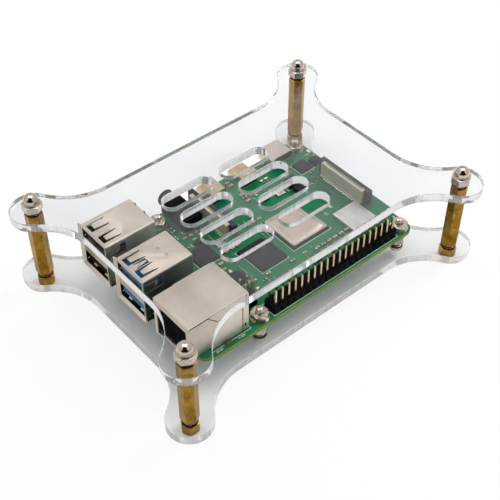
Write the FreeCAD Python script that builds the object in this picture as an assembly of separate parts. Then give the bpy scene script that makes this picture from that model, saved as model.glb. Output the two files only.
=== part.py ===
import FreeCAD, Part
import math
import os

V = FreeCAD.Vector

# Two clear plates hold a single-board computer between them.  Millimetres,
# +X towards the port end, +Y towards the pin header, +Z up.  The origin is
# under the middle of the case, on the surface that the feet stand on.

# Clear plates: the waist stands clear of the board and its ports, the posts stand out from the waist
plate_t = 3.0
waist_gap_x = 2.7
waist_gap_y = 2.4
port_side_swell = 0.9
post_out_x = 5.7
post_out_y = 5.4
lobe_r = 7.0
neck_r = 19.0
post_hole_r = 1.6

# Vent of round-ended slots in the top plate
vent_x = 2.2
vent_y = 0.8
vent_columns = 2
vent_rows = 4
vent_slot_length = 18.0
vent_slot_width = 6.0
vent_bridge_x = 4.0
vent_bridge_y = 3.2

# Corner posts: foot, standoff and dome nut on each corner
foot_h = 3.5
post_hex = 4.9
post_chamfer = 0.35
standoff_h = 22.6
stud_r = 1.45
thread_clearance = 0.05
thread_sides = 12
ball_sides = 16
ball_rings = 4
ball_top_tilt = math.radians(68.0)
ball_tip_share = 0.12
foot_stud_depth = 4.5
top_stud_depth = 2.6
dome_nut_hex = 5.5
dome_nut_hex_h = 2.3
dome_ball_r = 2.35
dome_ball_lift = 0.85

# Circuit board and the screws that hold it
board_hole_inset = 3.5
board_hole_span_x = 58.0
board_hole_span_y = 49.0
port_zone_length = 23.5
board_t = 1.4
board_corner_r = 3.0
board_shift_x = -1.3
board_shift_y = 0.8
board_gap = 4.5
board_hole_r = 1.35
board_screw_r = 1.22
board_screw_head_r = 2.25
board_screw_head_h = 1.6
board_screw_end = 1.7
spacer_hex = 4.5
board_nut_hex = 5.0
board_nut_h = 2.0
nut_chamfer = 0.3

# Pin header along the long edge
pitch = 2.54
header_end_gap = 0.3
header_base_h = 2.54
header_notch = 0.45
pin_w = 0.64
pin_rise = 6.0
pin_tail = 1.4
pin_tip = 0.25
solder_clearance = 0.12
small_header_in_x = 0.5
small_header_in_y = 6.6

# Double ports: one black stack and one blue stack
stack_overhang = 2.7
stack_depth = 17.2
stack_width = 13.1
stack_h = 15.4
sheet_t = 0.35
stack_edge_r = 0.5
flare_length = 0.8
flare_out = 0.55
mouth_h = 5.0
mouth_low_z = 1.6
mouth_high_z = 9.7
insert_depth = 7.6
tongue_t = 2.0
tongue_side = 1.0
tongue_drop = 0.5
tongue_setback = 0.6
contact_t = 0.15
contact_w = 1.0
contact_root_gap = 2.2
spring_length = 6.1
spring_root_w = 2.7
spring_tip_w = 1.7
spring_gap = 0.35
spring_tip_gap = 1.5
spring_edge = 0.5
spring_spread = 6.1
tab_length = 4.1
tab_root_w = 1.5
tab_tip_w = 0.8
tab_edge = 1.9

# Network jack
jack_overhang = 2.9
jack_depth = 21.2
jack_width = 15.9
jack_h = 13.4
jack_sheet_t = 0.35
jack_edge_r = 0.35
jack_mouth_w = 11.9
jack_mouth_h = 7.6
jack_mouth_z = 3.2
jack_mouth_depth = 14.0
jack_key_w = 6.2
jack_key_h = 1.7
jack_frame_w = 0.9
jack_frame_top = 1.9
jack_wires = 8
jack_wire_pitch = 1.02
jack_wire_w = 0.45
jack_strap_w = 2.0
jack_strap_gap = 0.3
jack_tab_t = 0.3
jack_tab_drop = 1.7
jack_tab_length = 13.0
jack_tab_slope = 2.0

# Audio jack
audio_width = 7.0
audio_depth = 12.3
audio_h = 5.8
audio_barrel_r = 2.9
audio_barrel_length = 2.5
audio_bore_r = 1.8
audio_bore_depth = 11.0
audio_edge = 0.35

# Small video ports and the power port on the long edge
video_width = 6.8
video_depth = 7.6
video_h = 3.2
video_overhang = 1.0
power_width = 9.0
power_depth = 7.4
power_h = 3.2
power_overhang = 1.2
port_sheet_t = 0.3
video_corner = 0.7
power_corner = 0.95
port_back_t = 1.2
port_tongue_t = 0.7
port_tongue_side = 1.1
port_tongue_setback = 0.8

# Flat-cable connectors, each with a latch that lifts to free the cable
cable_end_gap = 3.4
cable_edge_gap = 0.8
cable_length = 22.4
cable_depth = 3.0
cable_h = 5.4
cable_latch_t = 1.35
cable_ear_w = 1.7
cable_latch_clearance = 0.1
cable_latch_rise = 0.1
cable_slot_w = 0.4
cable_slot_depth = 3.6
cable_slot_length = 16.2
cable_pins = 15
cable_pin_pitch = 1.0
cable_pin_w = 0.4
cable_pin_reach = 0.6
cable_pin_t = 0.25
cable_body_foot_h = 0.6
cable_body_foot_reach = 0.35

# Chips
chip_chamfer = 0.12
processor_w = 15.0
processor_base_h = 0.7
processor_lid_w = 14.2
processor_lid_h = 0.7
processor_step_in = 1.7
processor_step_h = 0.5
processor_lid_corner = 0.5
memory_length = 10.1
memory_width = 12.2
memory_h = 0.9
port_chip_w = 7.4
port_chip_h = 0.9
power_chip_w = 5.0
power_chip_h = 0.8
shield_gap_x = 0.1
shield_gap_y = 1.96
shield_length = 10.0
shield_width = 11.4
shield_h = 1.5
shield_edge = 0.3
coil_in_x = 1.4
coil_w = 4.6
coil_h = 2.0
coil_corner = 1.2

# Memory-card slot under the card end of the board
card_slot_x = 1.0
card_slot_length = 12.0
card_slot_width = 14.0
card_slot_h = 1.4
card_gap_w = 11.2
card_gap_h = 0.8
card_gap_depth = 10.0

# Places are shares of the free length that the pieces in one row leave between them
port_end_shares = (0.176, 0.353, 0.306)
port_edge_shares = (0.016, 0.352, 0.341, 0.127, 0.107)
display_share = 0.543
processor_share_x = 0.298
processor_share_y = 0.6287
memory_share_x = 0.1456
memory_share_y = 0.371
port_chip_share_x = 0.44
port_chip_share_y = 0.338
power_chip_share_x = 0.126
power_chip_share_y = 0.51
coil_share_y = 0.778

# Heights and places that follow from the sizes above
board_length = board_hole_inset + board_hole_span_x + port_zone_length
board_width = 2 * board_hole_inset + board_hole_span_y
jack_front_x = board_length + jack_overhang
stack_front_x = board_length + stack_overhang
waist_x = board_shift_x + board_length / 2 + jack_overhang + waist_gap_x
waist_y = board_shift_y + board_width / 2 + waist_gap_y
post_x = waist_x + post_out_x
post_y = waist_y + post_out_y
base_bottom = foot_h
base_top = base_bottom + plate_t
board_bottom = base_top + board_gap
board_top = board_bottom + board_t
top_bottom = base_top + standoff_h
top_top = top_bottom + plate_t
board_x0 = board_shift_x - board_length / 2
board_y0 = board_shift_y - board_width / 2
posts = [(sx * post_x, sy * post_y) for sx in (-1, 1) for sy in (-1, 1)]


def on_board(x, y):
    """Case coordinates of a place measured from the board's card-end, port-edge corner."""
    return board_x0 + x, board_y0 + y


def spread(low, high, sizes, shares):
    """Centres of pieces in a row from low to high; a share of the free length goes before each."""
    free = high - low - sum(sizes)
    centres = []
    start = low
    for size, share in zip(sizes, shares):
        start += free * share
        centres.append(start + size / 2)
        start += size
    return centres


def between(low, high, size, share):
    return spread(low, high, [size], [share])[0]


board_holes = []
for hole_x in (board_hole_inset, board_hole_inset + board_hole_span_x):
    for hole_y in (board_hole_inset, board_hole_inset + board_hole_span_y):
        board_holes.append(on_board(hole_x, hole_y))


# Places along the board, measured from its card-end, port-edge corner
nut_reach = board_nut_hex / math.sqrt(3)
far_hole_x = board_hole_inset + board_hole_span_x
far_hole_y = board_hole_inset + board_hole_span_y
nuts_x = (board_hole_inset + nut_reach, far_hole_x - nut_reach)
nuts_y = (board_hole_inset + nut_reach, far_hole_y - nut_reach)
header_pins_x = int((nuts_x[1] - nuts_x[0] - 2 * header_end_gap) / pitch)
header_x = board_hole_inset + board_hole_span_x / 2
header_y = far_hole_y
header_low_y = header_y - pitch
small_header_x = far_hole_x - small_header_in_x
small_header_y = far_hole_y - small_header_in_y
small_header_low_y = small_header_y - pitch
stack_back_x = stack_front_x - stack_depth
mouth_depth = stack_depth - sheet_t - insert_depth
tongue_reach = mouth_depth - tongue_setback
tongue_w = stack_width - 2 * tongue_side
contact_length = tongue_reach - contact_t - contact_root_gap
stack_black_y, stack_blue_y, jack_y = spread(
    0, board_width, (stack_width, stack_width, jack_width), port_end_shares)
power_x, video_near_x, video_far_x, cable_camera_x, audio_x = spread(
    nuts_x[0], nuts_x[1], (power_width, video_width, video_width, cable_depth, audio_width), port_edge_shares)
cable_camera_y = cable_edge_gap + cable_length / 2
cable_display_x = cable_end_gap + cable_depth / 2
cable_display_y = between(nuts_y[0], nuts_y[1], cable_length, display_share)
display_pins_end = cable_end_gap + cable_depth + cable_body_foot_reach + cable_pin_reach
processor_x = between(display_pins_end, stack_back_x, processor_w, processor_share_x)
processor_y = between(video_depth, header_low_y, processor_w, processor_share_y)
processor_end_x = processor_x + processor_w / 2
memory_x = between(processor_end_x, stack_back_x, memory_length, memory_share_x)
memory_y = between(cable_camera_y + cable_length / 2, header_low_y, memory_width, memory_share_y)
memory_end_x = memory_x + memory_length / 2
port_chip_x = between(memory_end_x, stack_back_x, port_chip_w, port_chip_share_x)
port_chip_y = between(audio_depth, small_header_low_y, port_chip_w, port_chip_share_y)
coil_x = port_chip_x - coil_in_x
coil_y = between(port_chip_y + port_chip_w / 2, small_header_low_y, coil_w, coil_share_y)
power_chip_x = between(board_hole_inset, video_near_x, power_chip_w, power_chip_share_x)
power_chip_y = between(power_depth, cable_display_y - cable_length / 2, power_chip_w, power_chip_share_y)
shield_x = display_pins_end + shield_gap_x + shield_length / 2
shield_y = header_low_y - shield_gap_y - shield_width / 2


# Basic shapes
def block(cx, cy, z, length, width, height):
    """Box centred on (cx, cy), standing on z."""
    return Part.makeBox(length, width, height, V(cx - length / 2, cy - width / 2, z))


def rod(cx, cy, z, r, height):
    return Part.makeCylinder(r, height, V(cx, cy, z))


def extrude_wire(wire, height):
    return Part.Face(wire).extrude(V(0, 0, height))


def hex_bar(cx, cy, z, flats, height, turn=0.0):
    """Hexagonal prism measured across its flats."""
    r = flats / math.sqrt(3)
    angles = [turn + math.pi / 3 * i for i in range(7)]
    corners = [V(cx + r * math.cos(a), cy + r * math.sin(a), z) for a in angles]
    return extrude_wire(Part.makePolygon(corners), height)


def ring(cx, cy, z, r, sides):
    """Regular polygon that stands in for a circle on a small piece that repeats."""
    angles = [2 * math.pi / sides * i for i in range(sides + 1)]
    return Part.makePolygon([V(cx + r * math.cos(a), cy + r * math.sin(a), z) for a in angles])


def threaded(cx, cy, z, r, height):
    """Many-sided stand-in for a threaded shank, or for the cutter of a threaded hole."""
    return extrude_wire(ring(cx, cy, z, r, thread_sides), height)


def edges_along(shape, axis):
    """Straight edges that run along the given axis vector."""
    found = []
    for edge in shape.Edges:
        if isinstance(edge.Curve, Part.Line):
            direction = edge.Vertexes[1].Point.sub(edge.Vertexes[0].Point)
            if abs(direction.dot(axis)) > 0.999 * direction.Length:
                found.append(edge)
    return found


def round_along(shape, radius, axis):
    return shape.makeFillet(radius, edges_along(shape, axis))


def top_edges(shape):
    top = shape.BoundBox.ZMax
    return [e for e in shape.Edges if e.BoundBox.ZMin > top - 1e-6]


def bottom_edges(shape):
    bottom = shape.BoundBox.ZMin
    return [e for e in shape.Edges if e.BoundBox.ZMax < bottom + 1e-6]


def bevelled_hex(cx, cy, z, flats, height, bevel, turn=0.0):
    """Hexagonal bar with both ends bevelled."""
    bar = hex_bar(cx, cy, z, flats, height, turn)
    return bar.makeChamfer(bevel, top_edges(bar) + bottom_edges(bar))


def octagon_prism(cx, cy, z, length, width, height, corner, axis="z"):
    """Block with four cut corners, seen along Z or along Y."""
    half_l = length / 2
    half_w = (width if axis == "z" else height) / 2
    near = [(half_l, half_w - corner), (half_l - corner, half_w), (corner - half_l, half_w),
            (-half_l, half_w - corner)]
    outline = near + [(-u, -v) for u, v in near]
    if axis == "z":
        points = [V(cx + u, cy + v, z) for u, v in outline]
        depth = V(0, 0, height)
    else:
        points = [V(cx + u, cy - width / 2, z + height / 2 + v) for u, v in outline]
        depth = V(0, width, 0)
    return Part.Face(Part.makePolygon(points + [points[0]])).extrude(depth)


placed = []


def export(name, shapes):
    """Write one node from a solid or a list of separate solids."""
    if not isinstance(shapes, list):
        shapes = [shapes]
    solids = [solid for shape in shapes for solid in shape.Solids]
    placed.extend(solid.BoundBox for solid in solids)
    node = solids[0] if len(solids) == 1 else Part.makeCompound(solids)
    node.exportStep("parts/" + name + ".step")


# Clear plates
def hollow_centres(swell):
    """Centres of the hollow arcs that blend one corner lobe into the plate's sides."""
    reach = lobe_r + neck_r
    long_y = waist_y + neck_r
    short_x = waist_x + swell + neck_r
    long_x = post_x - math.sqrt(reach ** 2 - (long_y - post_y) ** 2)
    short_y = post_y - math.sqrt(reach ** 2 - (short_x - post_x) ** 2)
    return V(long_x, long_y, 0), V(short_x, short_y, 0), V(post_x, post_y, 0)


def lobe_points(swell):
    """Points of one corner, from the long side round the lobe to the short side."""
    long_c, short_c, post = hollow_centres(swell)
    to_long = (long_c - post).normalize()
    to_short = (short_c - post).normalize()
    start = long_c - V(0, neck_r, 0)
    end = short_c - V(neck_r, 0, 0)
    lobe_in = post + to_long * lobe_r
    lobe_out = post + to_short * lobe_r
    lobe_tip = post - (to_long + to_short).normalize() * lobe_r
    mid_long = long_c + (V(0, -1, 0) - to_long).normalize() * neck_r
    mid_short = short_c + (V(-1, 0, 0) - to_short).normalize() * neck_r
    return [start, mid_long, lobe_in, lobe_tip, lobe_out, mid_short, end]


def plate_outline(z):
    """Bone-shaped outline: four lobes, four straight waists and eight hollow arcs."""
    edges = []
    first = None
    last = None
    for sx, sy in ((1, 1), (1, -1), (-1, -1), (-1, 1)):
        corner = lobe_points(port_side_swell if sx > 0 else 0.0)
        points = [V(sx * p.x, sy * p.y, z) for p in corner]
        if sx * sy < 0:
            points.reverse()
        if last is None:
            first = points[0]
        else:
            edges.append(Part.makeLine(last, points[0]))
        for i in (0, 2, 4):
            edges.append(Part.Arc(points[i], points[i + 1], points[i + 2]).toShape())
        last = points[-1]
    edges.append(Part.makeLine(last, first))
    return Part.Wire(edges)


def drilled_plate(z):
    plate = extrude_wire(plate_outline(z), plate_t)
    for x, y in posts:
        plate = plate.cut(rod(x, y, z, post_hole_r, plate_t))
    return plate


def round_slot(cx, cy, z, length, width, height):
    """Slot cutter with round ends, along X."""
    r = width / 2
    straight = length - width
    return block(cx, cy, z, straight, width, height).fuse([
        rod(cx - straight / 2, cy, z, r, height),
        rod(cx + straight / 2, cy, z, r, height),
    ]).removeSplitter()


def vent_slots():
    """Centres of the vent's slots."""
    step_x = vent_slot_length + vent_bridge_x
    step_y = vent_slot_width + vent_bridge_y
    centres = []
    for column in range(vent_columns):
        for row in range(vent_rows):
            x = vent_x + (column - (vent_columns - 1) / 2) * step_x
            y = vent_y + (row - (vent_rows - 1) / 2) * step_y
            centres.append((x, y))
    return centres


def base_plate():
    plate = drilled_plate(base_bottom)
    for x, y in board_holes:
        plate = plate.cut(rod(x, y, base_bottom, board_hole_r, plate_t))
    return plate


def top_plate():
    plate = drilled_plate(top_bottom)
    for x, y in vent_slots():
        cutter = round_slot(x, y, top_bottom, vent_slot_length, vent_slot_width, plate_t)
        plate = plate.cut(cutter)
    return plate


# Corner posts
def corner_foot(x, y):
    """Short hexagonal foot with the stud that passes up through the base plate."""
    foot = bevelled_hex(x, y, 0, post_hex, foot_h, post_chamfer, turn=math.pi / 6)
    stud = threaded(x, y, foot_h, stud_r, plate_t + foot_stud_depth - 2 * thread_clearance)
    return foot.fuse(stud).removeSplitter()


def corner_standoff(x, y):
    """Hexagonal pillar, threaded hole below and stud above."""
    pillar = bevelled_hex(x, y, base_top, post_hex, standoff_h, post_chamfer)
    stud = threaded(x, y, top_bottom, stud_r, plate_t + top_stud_depth - thread_clearance)
    hole = threaded(x, y, base_top, stud_r + thread_clearance, foot_stud_depth)
    return pillar.fuse(stud).removeSplitter().cut(hole)


def ball_cap(x, y, z):
    """Ball that starts at height z, drawn as a stack of many-sided rings."""
    centre = z + dome_ball_lift
    start = -math.asin(dome_ball_lift / dome_ball_r)
    wires = []
    for i in range(ball_rings + 1):
        tilt = start + (ball_top_tilt - start) * i / ball_rings
        wires.append(ring(x, y, centre + dome_ball_r * math.sin(tilt), dome_ball_r * math.cos(tilt), ball_sides))
    wires.append(ring(x, y, centre + dome_ball_r, dome_ball_r * ball_tip_share, ball_sides))
    return Part.makeLoft(wires, True, True)


def dome_nut(x, y):
    """Hexagonal nut closed by a ball-shaped dome."""
    bar = hex_bar(x, y, top_top, dome_nut_hex, dome_nut_hex_h)
    nut = bar.makeChamfer(nut_chamfer, top_edges(bar))
    ball = ball_cap(x, y, top_top + dome_nut_hex_h)
    hole = threaded(x, y, top_top, stud_r + thread_clearance, top_stud_depth)
    return nut.fuse(ball).removeSplitter().cut(hole)


# Board and its fixings
def circuit_board():
    cx, cy = on_board(board_length / 2, board_width / 2)
    board = block(cx, cy, board_bottom, board_length, board_width, board_t)
    board = round_along(board, board_corner_r, V(0, 0, 1))
    holes = [rod(x, y, board_bottom, board_hole_r, board_t) for x, y in board_holes]
    pin_hole = pin_w + 2 * solder_clearance
    for x, y in header_pin_places() + small_header_pin_places():
        holes.append(block(x, y, board_bottom, pin_hole, pin_hole, board_t))
    return board.cut(holes)


def board_spacer(x, y):
    bore = threaded(x, y, base_top, board_hole_r, board_gap)
    return hex_bar(x, y, base_top, spacer_hex, board_gap).cut(bore)


def board_screw(x, y):
    """Screw from below, through plate, spacer, board and nut."""
    head = threaded(x, y, base_bottom - board_screw_head_h, board_screw_head_r, board_screw_head_h)
    shank_length = board_top + board_nut_h + board_screw_end - base_bottom
    return head.fuse(threaded(x, y, base_bottom, board_screw_r, shank_length)).removeSplitter()


def board_nut(x, y):
    bar = hex_bar(x, y, board_top, board_nut_hex, board_nut_h)
    nut = bar.makeChamfer(nut_chamfer, top_edges(bar))
    return nut.cut(threaded(x, y, board_top, board_screw_r + thread_clearance, board_nut_h))


# Pin headers
def pin_grid(cx, cy, columns, rows):
    places = []
    for i in range(columns):
        for j in range(rows):
            x = cx + (i - (columns - 1) / 2) * pitch
            y = cy + (j - (rows - 1) / 2) * pitch
            places.append((x, y))
    return places


def header_pin_places():
    return pin_grid(*on_board(header_x, header_y), header_pins_x, 2)


def small_header_pin_places():
    return pin_grid(*on_board(small_header_x, small_header_y), 2, 2)


def header_base(cx, cy, columns, places):
    """Moulded strip with a notch between each pair of pins."""
    half_w = pitch
    start = cx - columns * pitch / 2
    near = []
    for i in range(columns):
        x = start + i * pitch
        near.append((x, half_w - header_notch))
        near.append((x + header_notch, half_w))
        near.append((x + pitch - header_notch, half_w))
    end = start + columns * pitch
    near.append((end, half_w - header_notch))
    outline = [V(x, cy + y, board_top) for x, y in near]
    outline += [V(x, cy - y, board_top) for x, y in reversed(near)]
    outline.append(outline[0])
    strip = extrude_wire(Part.makePolygon(outline), header_base_h)
    holes = [block(x, y, board_top, pin_w, pin_w, header_base_h) for x, y in places]
    return strip.cut(holes)


def header_pins(places):
    """Square pins with tapered tips, from the solder side to the open end."""
    low = board_bottom - pin_tail
    height = board_top + header_base_h + pin_rise - low
    pin = block(0, 0, low, pin_w, pin_w, height)
    pin = pin.makeChamfer(pin_tip, pin_w * 0.3, top_edges(pin))
    return [pin.translated(V(x, y, 0)) for x, y in places]


# Double ports
def ring_loft(x, y0, z0, width, height, grow, length):
    """Tapered block from a rectangle at x to one that is larger by grow all round."""
    wires = []
    for dx, g in ((0, 0), (length, grow)):
        y_low = y0 - width / 2 - g
        y_high = y0 + width / 2 + g
        low = z0 - g
        high = z0 + height + g
        corners = [(y_low, low), (y_high, low), (y_high, high), (y_low, high)]
        points = [V(x + dx, y, z) for y, z in corners]
        wires.append(Part.makePolygon(points + [points[0]]))
    return Part.makeLoft(wires, True, True)


def spring_slot(length, root_w, tip_w, tip_gap, thickness):
    """Cutter round a tapered leaf: root at x = 0, tip towards +X, cut depth below z = 0."""
    outer_w = root_w + 2 * spring_gap
    outer = [(0, outer_w / 2), (length, outer_w / 2), (length, -outer_w / 2), (0, -outer_w / 2)]
    tip_x = length - tip_gap
    leaf = [(-1, root_w / 2), (0, root_w / 2), (tip_x, tip_w / 2),
            (tip_x, -tip_w / 2), (0, -root_w / 2), (-1, -root_w / 2)]
    solids = []
    for outline in (outer, leaf):
        points = [V(x, y, -thickness) for x, y in outline]
        solids.append(extrude_wire(Part.makePolygon(points + [points[0]]), 2 * thickness))
    return solids[0].cut(solids[1])


def stack_places(board_y):
    """Front X, centre Y and depth centre X of a stack."""
    front, y = on_board(stack_front_x, board_y)
    return front, y, front - stack_depth / 2


def stack_shell(board_y, middle_slot):
    """Folded sheet cover of a double port with a flared front and sprung leaves."""
    front, y, mid_x = stack_places(board_y)
    outer = block(mid_x, y, board_top, stack_depth, stack_width, stack_h)
    outer = round_along(outer, stack_edge_r, V(1, 0, 0))
    inner = block(mid_x + sheet_t, y, board_top, stack_depth, stack_width - 2 * sheet_t, stack_h - sheet_t)
    shell = outer.cut(inner)
    lip_low = board_top + mouth_low_z
    lip_h = stack_h - mouth_low_z
    lip_outer = ring_loft(front, y, lip_low - sheet_t, stack_width, lip_h + sheet_t, flare_out, flare_length)
    lip_inner = ring_loft(front, y, lip_low, stack_width - 2 * sheet_t, lip_h - sheet_t, flare_out, flare_length)
    shell = shell.fuse(lip_outer.cut(lip_inner)).removeSplitter()
    slot_x = front - spring_edge - spring_length
    slots = []
    cutter = spring_slot(spring_length, spring_root_w, spring_tip_w, spring_tip_gap, 2 * sheet_t)
    for side in (-1, 1):
        slots.append(cutter.translated(V(slot_x, y + side * spring_spread / 2, board_top + stack_h)))
        wall = cutter.copy()
        wall.rotate(V(0, 0, 0), V(1, 0, 0), 90)
        wall.rotate(V(0, 0, 0), V(0, 0, 1), 180)
        for level in (mouth_low_z, mouth_high_z):
            wall_z = board_top + level + mouth_h / 2
            slots.append(wall.translated(V(front - spring_edge, y + side * stack_width / 2, wall_z)))
    if middle_slot:
        tab = spring_slot(tab_length, tab_root_w, tab_tip_w, spring_gap, 2 * sheet_t)
        tab.rotate(V(0, 0, 0), V(0, 0, 1), 180)
        slots.append(tab.translated(V(front - tab_edge, y, board_top + stack_h)))
    return shell.cut(slots)


def stack_divider(board_y):
    """Folded strip between the two mouths, open towards the back."""
    front, y, _ = stack_places(board_y)
    low = board_top + mouth_low_z + mouth_h
    height = mouth_high_z - mouth_low_z - mouth_h
    width = stack_width - 2 * sheet_t
    mid_x = front - mouth_depth / 2
    outer = block(mid_x, y, low, mouth_depth, width, height)
    inner = block(mid_x - sheet_t, y, low + sheet_t, mouth_depth, width, height - 2 * sheet_t)
    return outer.cut(inner)


def stack_insert(board_y):
    """Moulded core with a tongue near the top of each mouth."""
    front, y, _ = stack_places(board_y)
    width = stack_width - 2 * sheet_t
    back = front - stack_depth + sheet_t
    core = block(back + insert_depth / 2, y, board_top, insert_depth, width, stack_h - sheet_t)
    tongues = []
    for level in (mouth_low_z, mouth_high_z):
        z = board_top + level + mouth_h - tongue_drop - tongue_t
        mid_x = back + insert_depth + tongue_reach / 2
        tongues.append(block(mid_x, y, z, tongue_reach, tongue_w, tongue_t))
    floor_h = mouth_low_z - sheet_t
    floor = block(front - mouth_depth / 2, y, board_top, mouth_depth, width, floor_h)
    return core.fuse(tongues + [floor]).removeSplitter()


def stack_floor(board_y):
    """Sheet that closes the lower mouth underneath."""
    front, y, _ = stack_places(board_y)
    z = board_top + mouth_low_z - sheet_t
    return block(front - mouth_depth / 2, y, z, mouth_depth, stack_width - 2 * sheet_t, sheet_t)


def stack_contacts(board_y, count):
    """Contact strips under each tongue."""
    front, y, _ = stack_places(board_y)
    strips = []
    step = tongue_w / (count + 0.6)
    x = front - tongue_setback - contact_length / 2 - contact_t
    for level in (mouth_low_z, mouth_high_z):
        z = board_top + level + mouth_h - tongue_drop - tongue_t - contact_t
        for i in range(count):
            strip_y = y + (i - (count - 1) / 2) * step
            strips.append(block(x, strip_y, z, contact_length, min(contact_w, step * 0.6), contact_t))
    return strips


# Network jack
def jack_places():
    front, y = on_board(jack_front_x, jack_y)
    return front, y, front - jack_depth / 2


def jack_shell():
    """Folded cover with a framed mouth, a seamed top and a rear strap."""
    front, y, mid_x = jack_places()
    outer = block(mid_x, y, board_top, jack_depth, jack_width, jack_h)
    outer = round_along(outer, jack_edge_r, V(1, 0, 0))
    inner = block(mid_x, y, board_top, jack_depth - 2 * jack_sheet_t, jack_width - 2 * jack_sheet_t,
                  jack_h - jack_sheet_t)
    shell = outer.cut(inner)
    window_w = jack_width - 2 * (jack_sheet_t + jack_frame_w)
    window_h = jack_h - jack_sheet_t - jack_frame_w - jack_frame_top
    window = block(front, y, board_top + jack_frame_w, 4 * jack_sheet_t, window_w, window_h)
    cuts = [window]
    for side in (-1, 1):
        slit_x = front - jack_depth + jack_strap_w + jack_strap_gap / 2
        slit = block(slit_x, y + side * jack_width / 2, board_top, jack_strap_gap, 4 * jack_sheet_t,
                     jack_h * 0.72)
        cuts.append(slit)
    return shell.cut(cuts).fuse([jack_tab(side) for side in (-1, 1)]).removeSplitter()


def jack_tab(side):
    """Edge of the top sheet folded down over one side, with a sloping front end."""
    front, y, _ = jack_places()
    rear_x = front - jack_depth + jack_strap_w + jack_strap_gap
    front_x = rear_x + jack_tab_length
    top = board_top + jack_h - jack_edge_r
    low = top - jack_tab_drop
    outline = [(rear_x, top), (front_x, top), (front_x - jack_tab_slope, low), (rear_x, low)]
    face_y = y + side * jack_width / 2
    points = [V(x, face_y, z) for x, z in outline]
    return Part.Face(Part.makePolygon(points + [points[0]])).extrude(V(0, side * jack_tab_t, 0))


def jack_insert():
    """Moulded core with the stepped plug cavity."""
    front, y, mid_x = jack_places()
    length = jack_depth - 2 * jack_sheet_t
    width = jack_width - 2 * jack_sheet_t
    core = block(mid_x, y, board_top, length, width, jack_h - jack_sheet_t)
    mouth_x = front - jack_sheet_t - jack_mouth_depth / 2
    mouth = block(mouth_x, y, board_top + jack_mouth_z, jack_mouth_depth, jack_mouth_w, jack_mouth_h)
    key = block(mouth_x, y, board_top + jack_mouth_z - jack_key_h, jack_mouth_depth, jack_key_w, jack_key_h)
    return core.cut([mouth, key])


def jack_contacts():
    """Spring wires that slope down from the roof of the cavity."""
    front, y, _ = jack_places()
    back = front - jack_sheet_t - jack_mouth_depth
    roof = board_top + jack_mouth_z + jack_mouth_h
    slope = math.degrees(math.atan2(2.4, jack_mouth_depth * 0.6))
    wires = []
    for i in range(jack_wires):
        wire_y = y + (i - (jack_wires - 1) / 2) * jack_wire_pitch
        wire = block(0, 0, -jack_wire_w, jack_mouth_depth * 0.6, jack_wire_w, jack_wire_w)
        wire.translate(V(-jack_mouth_depth * 0.3, 0, 0))
        wire.rotate(V(0, 0, 0), V(0, 1, 0), -slope)
        wires.append(wire.translated(V(back + jack_mouth_depth * 0.75, wire_y, roof - jack_wire_w * 0.1)))
    return wires


# Ports on the long edge
def audio_jack():
    """Moulded socket with a round barrel at the board's edge."""
    x, edge = on_board(audio_x, 0)
    body = octagon_prism(x, edge + audio_depth / 2, board_top, audio_width, audio_depth, audio_h,
                         audio_edge, "y")
    axis_z = board_top + audio_h / 2
    mouth = V(x, edge - audio_barrel_length, axis_z)
    barrel = Part.makeCylinder(audio_barrel_r, audio_barrel_length, mouth, V(0, 1, 0))
    bore = Part.makeCylinder(audio_bore_r, audio_bore_depth, mouth, V(0, 1, 0))
    return body.fuse(barrel).removeSplitter().cut(bore)


def edge_port_shell(board_x, width, depth, height, overhang, corner):
    """Folded tube with four cut corners, open at the board's edge."""
    x, edge = on_board(board_x, 0)
    mid_y = edge - overhang + depth / 2
    outer = octagon_prism(x, mid_y, board_top, width, depth, height, corner, "y")
    inner = octagon_prism(x, mid_y, board_top + port_sheet_t, width - 2 * port_sheet_t, depth,
                          height - 2 * port_sheet_t, corner - port_sheet_t / 2, "y")
    return outer.cut(inner)


def edge_port_tongue(board_x, width, depth, height, overhang, corner):
    """Moulded back and tongue inside an edge port."""
    x, edge = on_board(board_x, 0)
    back_y = edge - overhang + depth - port_back_t / 2
    back = octagon_prism(x, back_y, board_top + port_sheet_t, width - 2 * port_sheet_t, port_back_t,
                         height - 2 * port_sheet_t, corner - port_sheet_t / 2, "y")
    reach = depth - port_back_t - port_tongue_setback
    tongue_y = edge - overhang + port_tongue_setback + reach / 2
    tongue_z = board_top + height / 2 - port_tongue_t / 2
    tongue = block(x, tongue_y, tongue_z, width - 2 * (port_sheet_t + port_tongue_side), reach, port_tongue_t)
    return back.fuse(tongue).removeSplitter()


# Flat-cable connectors
def cable_body(board_x, board_y):
    """Moulded body with a slot for the cable and a thin foot."""
    x, y = on_board(board_x, board_y)
    back = x - cable_depth / 2 + cable_latch_t + cable_latch_clearance
    front = x + cable_depth / 2
    width = cable_length - 2 * (cable_ear_w + cable_latch_clearance)
    body = block((back + front) / 2, y, board_top, front - back, width, cable_h)
    foot_x = front + cable_body_foot_reach / 2
    foot = block(foot_x, y, board_top, cable_body_foot_reach, width, cable_body_foot_h)
    slot = block(back + cable_slot_w, y, board_top + cable_h - cable_slot_depth, cable_slot_w,
                 cable_slot_length, cable_slot_depth)
    return body.fuse(foot).removeSplitter().cut(slot)


def cable_latch(board_x, board_y):
    """Lifting latch: a bar behind the body with an ear round each end."""
    x, y = on_board(board_x, board_y)
    z = board_top + cable_latch_rise
    height = cable_h + cable_latch_rise
    bar = block(x - cable_depth / 2 + cable_latch_t / 2, y, z, cable_latch_t, cable_length, height)
    ears = []
    for side in (-1, 1):
        ear_y = y + side * (cable_length - cable_ear_w) / 2
        ears.append(block(x, ear_y, z, cable_depth, cable_ear_w, height))
    latch = bar.fuse(ears).removeSplitter()
    return latch.makeChamfer(chip_chamfer, top_edges(latch))


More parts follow.
